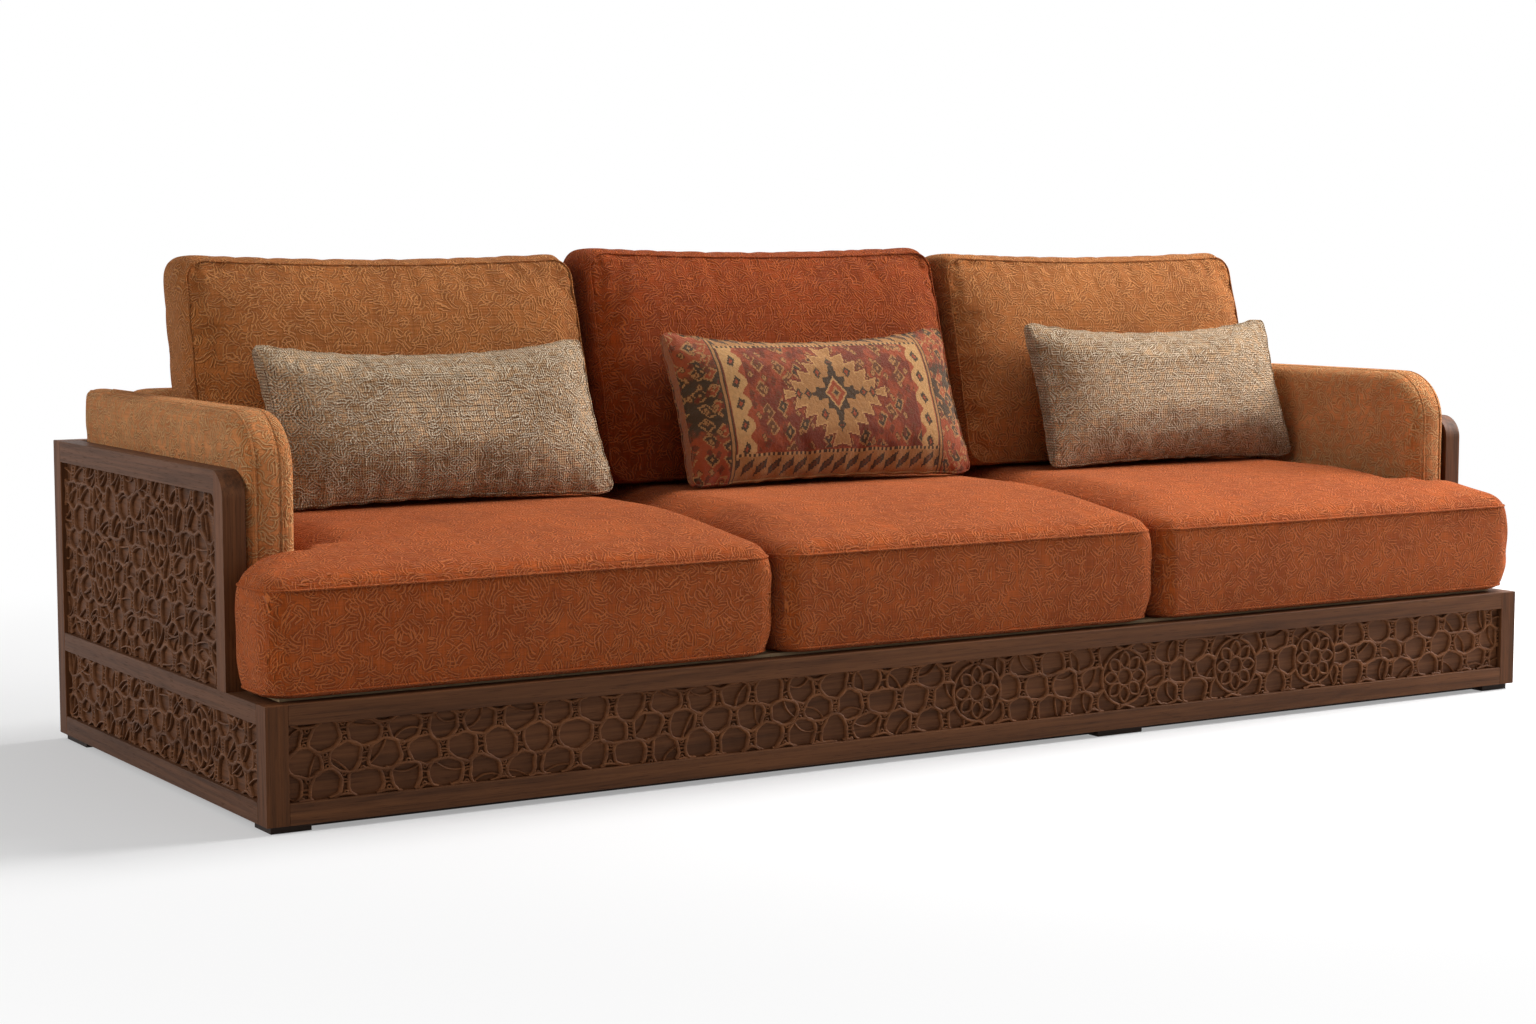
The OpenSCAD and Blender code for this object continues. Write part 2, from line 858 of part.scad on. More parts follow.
// Side outline of the arm padding, e in from the front and top
// and b in from the rear
function arm_pad_ring(t) =
    let (e = t < pad_t / 2 ? edge_back(t, pad_edge_r)
            : edge_back(pad_t - t, pad_inner_r),
        b = edge_back(t, pad_rear_r),
        r = pad_corner_r - e,
        x = member + pad_gap + t,
        y = arm_setback + pad_gap,
        z = deck_top + pad_gap)
    concat(
        [[x, y + e, z]],
        [for (k = [0 : 8]) let (a = k * 90 / 8)
            [x, y + pad_corner_r - r * cos(a),
                z + pad_h - pad_corner_r + r * sin(a)]],
        [for (k = [0 : 3]) let (a = k * 90 / 3, q = pad_edge_r)
            [x, y + arm_pad_l - b - q + q * sin(a),
                z + pad_h - e - q + q * cos(a)]],
        [[x, y + arm_pad_l - b, z]]);

module arm_pad() {
    outer = [for (s = arc_shares) s * pad_edge_r];
    inner = [for (k = [4 : -1 : 0]) pad_t - arc_shares[k] * pad_inner_r];
    ringed([for (t = concat(outer, [pad_rear_r], inner)) arm_pad_ring(t)]);
}

module left_arm_pad() {
    color([0.62, 0.40, 0.25]) placed() arm_pad();
}

module right_arm_pad() {
    color([0.62, 0.40, 0.25]) placed() right_side() arm_pad();
}

// The back padding runs between the arm pads, its top edges round
module back_pad() {
    l = body_w - 2 * (pad_face + pad_gap);
    color([0.62, 0.40, 0.25]) placed()
        translate([pad_face + pad_gap, back_face, deck_top + pad_gap])
            rotate([90, 0, 90]) linear_extrude(l)
                union() {
                    square([back_pad_t, pad_h - pad_inner_r]);
                    translate([pad_inner_r, 0])
                        square([back_pad_t - pad_inner_r - pad_edge_r,
                            pad_h]);
                    translate([pad_inner_r, pad_h - pad_inner_r])
                        circle(pad_inner_r, $fn = 48);
                    translate([back_pad_t - pad_edge_r, 0])
                        square([pad_edge_r, pad_h - pad_edge_r]);
                    translate([back_pad_t - pad_edge_r,
                        pad_h - pad_edge_r])
                        circle(pad_edge_r, $fn = 48);
                }
}

// Rise of a stuffed face at distance t from its seam
function swell(t, reach) = let (s = 1 - min(max(t, 0) / reach, 1)) 1 - s * s;
// How far a point near an edge moves in when the edge moves in by d
function drawn(t, d, reach) = d * max(0, 1 - t / reach);
// Turns a square corner at c into a round one, sx and sy pointing inwards
function round_corner(p, c, sx, sy, r) =
    let (a = r - (p[0] - c[0]) * sx, b = r - (p[1] - c[1]) * sy,
        k = a > 0 && b > 0 ? max(a, b) / norm([a, b]) : 1)
    a > 0 && b > 0
        ? [c[0] + sx * (r - a * k), c[1] + sy * (r - b * k)] : p;

// Corners of the boundary of a grid that lacks its rear left block
function boundary(nx, ny, ie, je) = concat(
    [for (i = [0 : nx - 1]) [i, 0]],
    [for (j = [0 : ny - 1]) [nx, j]],
    [for (i = [nx : -1 : ie + 1]) [i, ny]],
    [for (j = [ny : -1 : je + 1]) [ie, j]],
    [for (i = [ie : -1 : 1]) [i, je]],
    [for (j = [je : -1 : 1]) [0, j]]);

// A stuffed solid: an upper and a lower face on one grid, with rings of
// points between them. at(i, j, k) gives the point of level k, and the grid
// lacks the block left of ie and behind je.
module stuffed(nx, ny, ie, je, levels, at) {
    n = (nx + 1) * (ny + 1);
    edge = boundary(nx, ny, ie, je);
    m = len(edge);
    low = levels - 1;
    function id(k, q) = k == 0 ? edge[q][1] * (nx + 1) + edge[q][0]
        : k == low ? n + edge[q][1] * (nx + 1) + edge[q][0]
        : 2 * n + (k - 1) * m + q;
    blocks = [for (j = [0 : ny - 1], i = [0 : nx - 1])
        if (i >= ie || j < je) j * (nx + 1) + i];
    polyhedron(
        points = concat(
            [for (j = [0 : ny], i = [0 : nx]) at(i, j, 0)],
            [for (j = [0 : ny], i = [0 : nx]) at(i, j, low)],
            [for (k = [1 : 1 : low - 1], q = edge) at(q[0], q[1], k)]),
        faces = concat(
            [for (b = blocks) [b, b + nx + 1, b + nx + 2]],
            [for (b = blocks) [b, b + nx + 2, b + 1]],
            [for (b = blocks) [n + b, n + b + nx + 2, n + b + nx + 1]],
            [for (b = blocks) [n + b, n + b + 1, n + b + nx + 2]],
            [for (k = [0 : low - 1], q = [0 : m - 1])
                [id(k, q), id(k, (q + 1) % m), id(k + 1, (q + 1) % m)]],
            [for (k = [0 : low - 1], q = [0 : m - 1])
                [id(k, q), id(k + 1, (q + 1) % m), id(k + 1, q)]]));
}

// Seat cushion of width w. An outer one has an ear before the arm, ew wide.
module seat_cushion(w, ew) {
    r = seat_corner_r;
    s = seat_side_reach;
    ear = ew > 0;
    // Rounding and swelling beside the left edge, which the arm faces
    inner = [for (q = reach_shares) ew + s * q];
    xs = concat(
        [for (q = edge_shares) r * q],
        ear ? [ew * two_thirds_share, ew] : [],
        inner,
        [(ew + w) / 2],
        [for (k = [2 : -1 : 0]) w - s * reach_shares[k]],
        [for (k = [2 : -1 : 0]) w - r * edge_shares[k]]);
    ys = concat(
        [for (q = edge_shares) r * q],
        [ear_d * mid_share],
        [for (k = [2 : -1 : 0]) ear_d - r * edge_shares[k]],
        [(ear_d + seat_front_reach) / 2, seat_front_reach,
            (seat_front_reach + seat_d - s) / 2],
        [for (k = [2 : -1 : 0]) seat_d - s * reach_shares[k]],
        [for (k = [2 : -1 : 0]) seat_d - r * edge_shares[k]]);
    ie = ear ? 4 : 0;
    je = ear ? 6 : 0;
    nx = len(xs) - 1;
    ny = len(ys) - 1;
    draws = [seam_draw, 0, 0, seam_draw, seat_under_draw];
    rises = [seat_foot_h + seat_band_h,
        seat_foot_h + seat_band_h * band_shares[1],
        seat_foot_h + seat_band_h * band_shares[0], seat_foot_h, 0];
    // Distances of a station from the left and rear edges that face it
    function from_left(i, j) = xs[i] - (ear && j >= je && i >= ie ? ew : 0);
    function from_rear(i, j) =
        (ear && i <= ie && j <= je ? ear_d : seat_d) - ys[j];
    function plan(i, j, d) =
        let (x = xs[i] + drawn(from_left(i, j), d, s)
                - drawn(w - xs[i], d, s),
            y = ys[j] + drawn(ys[j], d, s)
                - drawn(from_rear(i, j), d, ear && i <= ie && j <= je
                    ? ear_d * mid_share : s),
            a = round_corner([x, y], [d, d], 1, 1, r),
            b = round_corner(a, [w - d, d], -1, 1, r),
            c = round_corner(b, [w - d, seat_d - d], -1, -1, r),
            e = ear && i <= ie && j <= je
                ? round_corner(c, [d, ear_d - d], 1, -1, r)
                : round_corner(c, [ew + d, seat_d - d], 1, -1, r))
        e;
    function top_rise(i, j) = seat_crown
        * swell(ys[j], seat_front_reach)
        * swell(from_left(i, j), s)
        * swell(w - xs[i], s)
        * swell(from_rear(i, j), ear && i <= ie && j <= je ? r : s);
    stuffed(nx, ny, ie, je, 5, function (i, j, k)
        concat(plan(i, j, draws[k]),
            [rises[k] + (k == 0 ? top_rise(i, j) : 0)]));
}

module left_seat_cushion() {
    color([0.60, 0.29, 0.17]) placed() outer_seat();
}

module right_seat_cushion() {
    color([0.60, 0.29, 0.17]) placed() right_side() outer_seat();
}

module outer_seat() {
    translate([cushion_gap, cushion_gap, seat_low])
        seat_cushion(seat_out_w - 2 * cushion_gap, ear_w - cushion_gap);
}

module middle_seat_cushion() {
    color([0.60, 0.29, 0.17]) placed()
        translate([seat_out_w, cushion_gap, seat_low])
            seat_cushion(seat_mid_w - cushion_gap, 0);
}

// Back cushion, leaning as it stands, with its top edge sagging
module back_cushion(w, h) {
    r = back_corner_r;
    c = back_reach;
    xs = concat(
        [for (q = edge_shares) r * q], [for (q = reach_shares) c * q],
        [w / 2], [for (k = [2 : -1 : 0]) w - c * reach_shares[k]],
        [for (k = [2 : -1 : 0]) w - r * edge_shares[k]]);
    ys = concat(
        [for (q = edge_shares) r * q], [for (q = reach_shares) c * q],
        [for (k = [2 : -1 : 0]) h - c * reach_shares[k]],
        [for (k = [2 : -1 : 0]) h - r * edge_shares[k]]);
    nx = len(xs) - 1;
    ny = len(ys) - 1;
    draws = [seam_draw, 0, 0, seam_draw];
    depths = [0, back_t * band_shares[0], back_t * band_shares[1], back_t];
    function plan(i, j, d) =
        let (x = xs[i] + drawn(xs[i], d, c) - drawn(w - xs[i], d, c),
            y = ys[j] + drawn(ys[j], d, c) - drawn(h - ys[j], d, c),
            a = round_corner([x, y], [d, d], 1, 1, r),
            b = round_corner(a, [w - d, d], -1, 1, r),
            e = round_corner(b, [w - d, h - d], -1, -1, r),
            f = round_corner(e, [d, h - d], 1, -1, r),
            u = 2 * f[0] / w - 1,
            v = f[1] / h)
        [f[0] - back_taper * u * v, f[1] - back_sag * v * (1 - u * u)];
    function face_swell(i, j) = swell(xs[i], c) * swell(w - xs[i], c)
        * swell(ys[j], c) * swell(h - ys[j], c);
    stuffed(nx, ny, 0, 0, 4, function (i, j, k)
        let (p = plan(i, j, draws[k]),
            out = k == 0 ? -back_front_crown * face_swell(i, j)
                : k == 3 ? back_rear_crown * face_swell(i, j) : 0)
        [p[0], depths[k] + out + p[1] * lean_run, p[1]]);
}

module left_back_cushion() {
    color([0.64, 0.41, 0.25]) placed() outer_back();
}

module right_back_cushion() {
    color([0.66, 0.43, 0.27]) placed() right_side() outer_back();
}

module outer_back() {
    translate([pad_face + cushion_gap, back_front, back_low])
        back_cushion(back_out_w - 2 * cushion_gap, back_h);
}

module middle_back_cushion() {
    color([0.58, 0.28, 0.16]) placed()
        translate([seat_out_w, back_front, back_low])
            back_cushion(seat_mid_w - cushion_gap,
                back_h + back_mid_extra);
}

// Pillow with a thin sewn edge and pinched corners
module pillow_at(x, lean) {
    w = pillow_w;
    h = pillow_h;
    shares = [0, 0.05, 0.13, 0.25, 0.375, 0.5, 0.625, 0.75, 0.87, 0.95, 1];
    n = len(shares) - 1;
    rise = h / 2 * cos(lean) + pillow_edge / 2 * sin(lean);
    function puff(u, v) =
        pow((1 - pow(abs(u), 3)) * (1 - pow(abs(v), 3)), puff_share);
    function half_t(i, j) =
        let (u = 2 * shares[i] - 1, v = 2 * shares[j] - 1)
        pillow_edge / 2 + (pillow_t - pillow_edge) / 2 * puff(u, v);
    // The lower edge lies flat on the seat, and the upper one is drawn in
    function plan(i, j) =
        let (u = 2 * shares[i] - 1, v = 2 * shares[j] - 1)
        [w / 2 * u - u * pillow_end_draw * (1 - v * v),
            h / 2 * v - max(v, 0) * pillow_draw * (1 - u * u)];
    // The pillow moves back until it touches the swollen back cushion
    room = min([for (i = [0 : n], j = [0 : n])
        let (p = plan(i, j), t = half_t(i, j),
            y = t * cos(lean) + p[1] * sin(lean),
            z = rise - t * sin(lean) + p[1] * cos(lean))
        lean_run * z - y]);
    stand = back_front - back_front_crown - cushion_gap + room;
    placed() translate([x, stand, pillow_low])
        translate([0, 0, rise]) rotate([-lean, 0, 0])
            stuffed(n, n, 0, 0, 2, function (i, j, k)
                let (p = plan(i, j), side = k == 0 ? -1 : 1)
                [p[0], side * half_t(i, j), p[1]]);
}

module left_pillow() {
    color([0.57, 0.46, 0.36]) pillow_at(left_pillow_x, left_pillow_lean);
}

module middle_pillow() {
    color([0.50, 0.27, 0.19]) pillow_at(mid_pillow_x, mid_pillow_lean);
}

module right_pillow() {
    color([0.61, 0.50, 0.40]) pillow_at(right_pillow_x, right_pillow_lean);
}

front_left_post();
front_right_post();
rear_left_post();
rear_right_post();
front_top_rail();
front_bottom_rail();
front_board();
front_fret();
left_base_top_rail();
left_base_bottom_rail();
left_base_board();
left_base_fret();
right_base_top_rail();
right_base_bottom_rail();
right_base_board();
right_base_fret();
back_mid_rail();
back_bottom_rail();
back_base_board();
left_arm_stile();
left_arm_top_rail();
left_arm_board();
left_arm_fret();
right_arm_stile();
right_arm_top_rail();
right_arm_board();
right_arm_fret();
back_top_rail();
back_left_muntin();
back_right_muntin();
back_board();
front_bearer();
rear_bearer();
left_bearer();
right_bearer();
left_cross_bearer();
middle_cross_bearer();
right_cross_bearer();
left_deck();
middle_deck();
right_deck();
front_left_foot();
front_right_foot();
rear_left_foot();
rear_right_foot();
front_middle_foot();
rear_middle_foot();
front_toe_strip();
left_arm_pad();
right_arm_pad();
back_pad();
left_seat_cushion();
middle_seat_cushion();
right_seat_cushion();
left_back_cushion();
middle_back_cushion();
right_back_cushion();
left_pillow();
middle_pillow();
right_pillow();
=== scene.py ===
import math

import bpy
import numpy as np
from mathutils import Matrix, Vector


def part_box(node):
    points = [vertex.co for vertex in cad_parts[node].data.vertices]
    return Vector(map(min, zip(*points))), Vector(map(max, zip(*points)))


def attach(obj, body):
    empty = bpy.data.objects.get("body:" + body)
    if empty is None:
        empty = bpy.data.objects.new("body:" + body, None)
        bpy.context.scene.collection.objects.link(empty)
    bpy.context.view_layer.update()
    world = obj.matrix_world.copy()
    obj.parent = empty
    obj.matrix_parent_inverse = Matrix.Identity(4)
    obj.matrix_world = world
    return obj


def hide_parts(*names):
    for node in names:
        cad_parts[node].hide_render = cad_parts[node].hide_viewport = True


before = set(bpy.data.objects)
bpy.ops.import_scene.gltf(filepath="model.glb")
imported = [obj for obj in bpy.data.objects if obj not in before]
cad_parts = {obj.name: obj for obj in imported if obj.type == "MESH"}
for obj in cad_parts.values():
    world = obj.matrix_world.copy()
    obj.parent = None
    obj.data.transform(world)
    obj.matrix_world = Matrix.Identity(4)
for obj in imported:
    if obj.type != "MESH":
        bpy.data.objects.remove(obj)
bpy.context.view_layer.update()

# The viewpoint of the photograph: a little above the sofa's top, well to the
# left of it, looking down a few degrees along its front with a long lens.
viewpoint = (-2.941, -4.501, 0.910)
look_down, turned_right = 5.49, 31.97
sight = bpy.data.cameras.new("sight")
sight.sensor_width = 36.0
sight.lens = 65.15
sight.clip_end = 60.0
viewer = bpy.data.objects.new("viewer", sight)
viewer.location = viewpoint
viewer.rotation_euler = (math.radians(90 - look_down), 0,
                         math.radians(-turned_right))
bpy.context.collection.objects.link(viewer)
bpy.context.scene.camera = viewer
bpy.context.scene.view_settings.view_transform = "Standard"


# Plinth timber: solid dark walnut, oiled to a satin finish. Square posts and
# rails are morticed and glued, their edges eased by hand with a plane.
class Shade:
    """A socket of a finish. A sum or product of it adds the node for it."""

    def __init__(self, tree, socket):
        self.tree = tree
        self.socket = socket

    def node(self, kind, sockets=None, out=0, **settings):
        """A new node fed with sockets. Returns its output called out."""
        made = self.tree.nodes.new("ShaderNode" + kind)
        for name, value in settings.items():
            setattr(made, name, value)
        for name, value in (sockets or {}).items():
            feed(self.tree, made.inputs[name], value)
        return Shade(self.tree, made.outputs[out])

    def worked(self, operation, first, second=None):
        """One step of arithmetic, on numbers or on vectors."""
        pair = [first] if second is None else [first, second]
        wide = any(part.socket.type != "VALUE" if isinstance(part, Shade)
                   else isinstance(part, tuple) for part in pair)
        return self.node("VectorMath" if wide else "Math",
                         dict(enumerate(pair)), operation=operation)

    def __add__(self, other):
        return self.worked("ADD", self, other)

    def __radd__(self, other):
        return self.worked("ADD", other, self)

    def __sub__(self, other):
        return self.worked("SUBTRACT", self, other)

    def __rsub__(self, other):
        return self.worked("SUBTRACT", other, self)

    def __mul__(self, other):
        return self.worked("MULTIPLY", self, other)

    def __truediv__(self, other):
        return self.worked("DIVIDE", self, other)

    def __lt__(self, other):
        return self.worked("LESS_THAN", self, other)

    def __gt__(self, other):
        return self.worked("GREATER_THAN", self, other)

    def __abs__(self):
        return self.worked("ABSOLUTE", self)

    def also(self, out):
        """Another output of the node that this socket belongs to."""
        return Shade(self.tree, self.socket.node.outputs[out])

    def calc(self, operation, *others):
        return self.node("Math", dict(enumerate((self, *others))),
                         operation=operation)

    def axis(self, number):
        return self.node("SeparateXYZ", {0: self}, out=number)

    def mottle(self, scale, detail=2.0, roughness=0.5, distortion=0.0):
        """Cloudy noise from 0 to 1 over this place, scale marks a metre."""
        return self.node("TexNoise", {
            "Vector": self, "Scale": scale, "Detail": detail,
            "Roughness": roughness, "Distortion": distortion})

    def ramp(self, low, high):
        """This value spread from low..high to 0..1 and held there."""
        return self.node("MapRange", {
            "Value": self, "From Min": low, "From Max": high},
            interpolation_type="SMOOTHSTEP")

    def blend(self, under, over):
        """The colour under, with over laid on it as far as this mask says."""
        return self.node("Mix", {0: self, 6: under, 7: over}, out=2,
                         data_type="RGBA")


def feed(tree, socket, value):
    """Links a shade to a socket, or sets the socket to a plain value."""
    if isinstance(value, Shade):
        tree.links.new(value.socket, socket)
    elif socket.type == "RGBA":
        socket.default_value = (*value[:3], 1.0)
    elif socket.type == "VECTOR" and not isinstance(value, tuple):
        socket.default_value = (value, value, value)
    else:
        socket.default_value = value


def colour(red, green, blue):
    """A colour as a paint card gives it, 0 to 255, for the shader."""
    return tuple(((part / 255 + 0.055) / 1.055) ** 2.4
                 for part in (red, green, blue))


def new_finish(name):
    """A bare finish, and the place on the object that its pattern reads."""
    made = bpy.data.materials.new(name)
    made.use_nodes = True
    tree = made.node_tree
    place = tree.nodes.new("ShaderNodeTexCoord").outputs["Object"]
    return made, Shade(tree, place)


def set_finish(made, **looks):
    """Sets sockets of the finish's shader: base_color=... and so on."""
    shader = made.node_tree.nodes["Principled BSDF"]
    for name, value in looks.items():
        label = " ".join(word.capitalize() for word in name.split("_"))
        label = label.replace("Ior", "IOR")
        feed(made.node_tree, shader.inputs[label], value)
    return made


def walnut(name, along, pale, deep, seed):
    """Oiled walnut with its grain along axis 0, 1 or 2."""
    made, place = new_finish(name)
    place = place + (seed * 0.37, seed * 0.71, seed * 0.13)

    def stretched(across, length):
        """This place in marks a metre across and along the grain."""
        scale = [across, across, across]
        scale[along] = length
        return place * tuple(scale)

    figure = stretched(11.0, 0.9).mottle(1.0, 2.0, 0.5, 0.6)
    rings = (figure * 95.0).calc("SINE") * 0.5 + 0.5
    streaks = stretched(85.0, 1.6).mottle(1.0, 5.0, 0.62)
    fine = stretched(420.0, 7.0).mottle(1.0, 2.0, 0.6)
    pores = stretched(900.0, 26.0).mottle(1.0, 1.0).ramp(0.60, 0.72)
    cloud = stretched(3.0, 1.2).mottle(1.0, 2.0)
    light = (streaks.ramp(0.32, 0.70) * 0.55 + rings * 0.16
             + fine.ramp(0.3, 0.7) * 0.16 + cloud.ramp(0.3, 0.7) * 0.13)
    tone = light.blend(deep, pale)
    tone = (pores * 0.5).blend(tone, tuple(part * 0.45 for part in deep))
    height = fine * 0.5 - pores * 1.0 + streaks * 0.4
    relief = place.node("Bump", {"Strength": 0.35, "Distance": 0.0004,
                                 "Height": height})
    return set_finish(made, base_color=tone, normal=relief,
                      roughness=0.50 + pores * 0.2 + (1 - light) * 0.08,
                      specular_ior_level=0.14)


grain_x = walnut("walnut_lengthwise", 0, colour(124, 78, 47),
                 colour(68, 40, 23), 1)
# The crosswise walnut is a darker copy of the same walnut: painted shade on
# the side pieces.
shaded_grain_y = walnut("walnut_side_shaded", 1, colour(110, 69, 42),
                 colour(60, 36, 21), 2)
grain_z = walnut("walnut_upright", 2, colour(122, 74, 42),
                 colour(62, 36, 19), 3)


def eased(node, finish, radius=0.0012):
    """Gives a timber node its finish and small rounded edges."""
    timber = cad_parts[node]
    for slot in timber.material_slots:
        slot.material = finish
    weld = timber.modifiers.new("closed", "WELD")
    weld.merge_threshold = 0.00002
    edge = timber.modifiers.new("eased", "BEVEL")
    edge.width = radius
    edge.segments = 2
    edge.limit_method = "ANGLE"
    edge.angle_limit = math.radians(35)
    for face in timber.data.polygons:
        face.use_smooth = False


for post in ("front_left_post", "front_right_post",
             "rear_left_post", "rear_right_post"):
    eased(post, grain_z)
for rail in ("front_top_rail", "front_bottom_rail"):
    eased(rail, grain_x)
for side in ("left", "right"):
    for rail in ("_base_top_rail", "_base_bottom_rail"):
        eased(side + rail, shaded_grain_y)


# Carved panels: each is one thin walnut board carved into a net of rounded
# ribs round uneven six-sided cells, with small bars and knots between them,
# laid on a backing board in the rebate. The cells are the CAD panels' own.
# Lengths in this section are millimetres, until stood() places a panel.
rib, stray_by, leaf_width = 4.5, 5.5, 8.5
ring_width, bar_width, thin_width = rib * 1.25, rib * 0.8, rib * 0.75
eye_radius, flower_radius, petals = 14.0, 50.0, 8
column_pitch, row_pitch = 68.0, 41.0
knot_radius, ring_wave = 3.4, 1.3
base_corner, arm_corner = 3.0, 14.0
# A cell has a bar where its stray, from minus one to one, is above these.
chord_rarity, arc_rarity, leaf_bar_rarity = (-0.75, 0.1), -0.1, -0.4
leaf_overlap = 1.5


def stray(i, j, k):
    """A steady stray between minus one and one for use k of cell i, j."""
    s = math.sin(i * 127.1 + j * 311.7 + k * 74.7) * 43758.5
    return 2 * (s - math.floor(s)) - 1


def cell_x(i, j):
    """Distance of a cell from the middle column. Odd rows stand between."""
    return (i + (0.0 if j % 2 == 0 else 0.5)) * column_pitch


def crossing(i, j, middle, up):
    """Where three ribs meet, above or below the middle of a cell."""
    y = (j + (2 / 3 if up else -2 / 3)) * row_pitch
    k = 0 if up else 1
    return middle + np.array([cell_x(i, j) + stray_by * stray(i, j, k),
                              y + stray_by * stray(j, k + 2, i)])


def left_of(i, j):
    """The column of the upper or lower left neighbour of a cell."""
    return i - 1 if j % 2 == 0 else i


def rounded(points, share):
    """Cuts every corner of an outline by a share of its sides."""
    return np.array([points[k] + (points[q] - points[k]) * share
                     for k in range(len(points))
                     for q in (k - 1, (k + 1) % len(points))])


def cell_outline(i, j, middle):
    """One cell, drawn in by half a rib, or by half a leaf at its sides."""
    left = left_of(i, j)
    corners = [crossing(i, j, middle, False),
               crossing(left + 1, j - 1, middle, True),
               crossing(left + 1, j + 1, middle, False),
               crossing(i, j, middle, True),
               crossing(left, j + 1, middle, False),
               crossing(left, j - 1, middle, True)]
    draws = [rib / 2, rib + leaf_width / 2, rib / 2] * 2
    moved = []
    for k, corner in enumerate(corners):
        before = corner - corners[k - 1]
        after = corners[(k + 1) % 6] - corner
        a = np.array([-before[1], before[0]]) / np.hypot(*before)
        b = np.array([-after[1], after[0]]) / np.hypot(*after)
        c = a @ b
        moved.append(corner + (draws[k - 1] * (a - c * b)
                               + draws[k] * (b - c * a)) / (1 - c * c))
    return rounded(rounded(moved, 0.21), 0.25)


def leaf_outline(i, j, middle):
    """The pointed piercing along the upright rib left of a cell."""
    a = crossing(left_of(i, j), j - 1, middle, True)
    b = crossing(left_of(i, j), j + 1, middle, False)
    up = (b - a) / np.hypot(*(b - a))
    out = np.array([up[1], -up[0]])
    tip = np.hypot(*(b - a)) / 2 - rib / 2
    corners = [(a + b) / 2 + up * tip * p + out * leaf_width / 2 * q
               for p, q in ((-1, 0), (-0.4, 1), (0.4, 1),
                            (1, 0), (0.4, -1), (-0.4, -1))]
    return rounded(rounded(corners, 0.25), 0.25), (a + b) / 2


def flower_outlines(centre):
    """A round eye with eight kite petals round it."""
    near = eye_radius + rib / 2
    far = flower_radius - rib / 2
    wide_at = (near + far) / 2
    half = wide_at * math.tan(math.pi / petals) - rib / 2
    outlines = [[(eye_radius * math.cos(a), eye_radius * math.sin(a))
                 for a in np.linspace(0, 2 * math.pi, 28, endpoint=False)]]
    for k in range(petals):
        turn = 2 * math.pi * k / petals
        c, s = math.cos(turn), math.sin(turn)
        petal = [np.array([x * c - y * s, x * s + y * c])
                 for x, y in ((near, 0), (wide_at, -half), (far, 0),
                              (wide_at, half))]
        outlines.append(rounded(rounded(petal, 0.2), 0.25))
    return [np.array(outline) + centre for outline in outlines]


def grown(points, by):
    """A closed outline with each point moved outwards."""
    ahead = np.roll(points, -1, 0) - points
    ahead /= np.maximum(np.hypot(*ahead.T), 1e-6)[:, None]
    behind = np.roll(ahead, 1, 0)
    side = np.stack([ahead[:, 1] + behind[:, 1],
                     -ahead[:, 0] - behind[:, 0]], 1)
    size = np.maximum(np.hypot(*side.T), 1e-6)[:, None]
    x, y = points.T
    turn = np.sign(x @ np.roll(y, -1) - y @ np.roll(x, -1))
    return points + side / size * by * turn


def bowed(first, last, bow, count=8):
    """A curved line of points, bowed sideways by a share of its length."""
    first, last = np.array(first), np.array(last)
    way = last - first
    heart = (first + last) / 2 + np.array([-way[1], way[0]]) * bow
    return np.array([(1 - s) ** 2 * first + 2 * s * (1 - s) * heart
                     + s * s * last for s in np.linspace(0, 1, count)])


def cell_ribs(i, j, middle, chords):
    """The ribs of one cell: line of points, width, drop and if closed.

    A waved ring, up to chords bars across it, one short arc, small bars
    across the leaf at its left, and a knot at each of its two crossings.
    """
    at = middle + np.array([cell_x(i, j), j * row_pitch])
    cell = cell_outline(i, j, middle)
    out = (cell - at) / np.hypot(*(cell - at).T)[:, None]
    turn = np.arctan2(out[:, 1], out[:, 0])
    wave = (np.sin(3 * turn + 9 * stray(i, j, 9))
            + 0.7 * np.sin(7 * turn + 9 * stray(j, i, 4)))
    ring = cell + out * (rib / 2 + ring_wave * wave)[:, None]
    count = len(ring)
    ribs = [(ring, ring_width, 0.5 + 0.5 * stray(i, j, 3), True)]

    def bar(first, last, bow, wide, drop):
        """A bowed bar between two points of the ring, given by number."""
        line = bowed(ring[first % count], ring[last % count], bow)
        ribs.append((line, wide, drop, False))

    for k, rarity in enumerate(chord_rarity[:chords]):
        if stray(i, j, 20 + k) >= rarity:
            bar(int(count * (0.25 + 0.12 * stray(i, j, 22 + k))),
                int(count * (0.75 + 0.12 * stray(i, j, 24 + k))),
                0.28 * stray(i, j, 26 + k), bar_width,
                1.2 + stray(j, i, k))
    if stray(i, j, 5) > arc_rarity:
        start = int((stray(i, j, 6) * 0.5 + 0.5) * count)
        bar(start, start + int(count * 0.36), 0.3 + 0.2 * stray(i, j, 7),
            thin_width, 2.0 + stray(j, i, 5))
    leaf, heart = leaf_outline(i, j, middle)
    tall = np.ptp(leaf[:, 1])
    half = leaf_width / 2 + leaf_overlap
    for k, share in enumerate((-0.28, 0.02, 0.3)):
        if stray(i, j, 10 + k) > leaf_bar_rarity:
            y = (share + 0.05 * stray(i, j, 13 + k)) * tall
            tilt = 3 * stray(i, j, 16 + k)
            line = bowed(heart + np.array([-half, y]),
                         heart + np.array([half, y + tilt]), 0.1, 4)
            ribs.append((line, bar_width, 1.0, False))
    turns = np.linspace(0, 2 * math.pi, 10, endpoint=False)
    circle = np.stack([np.cos(turns), np.sin(turns)], 1)
    for up in (True, False):
        ribs.append((crossing(i, j, middle, up) + knot_radius * circle,
                     thin_width, 0.9, True))
    return ribs


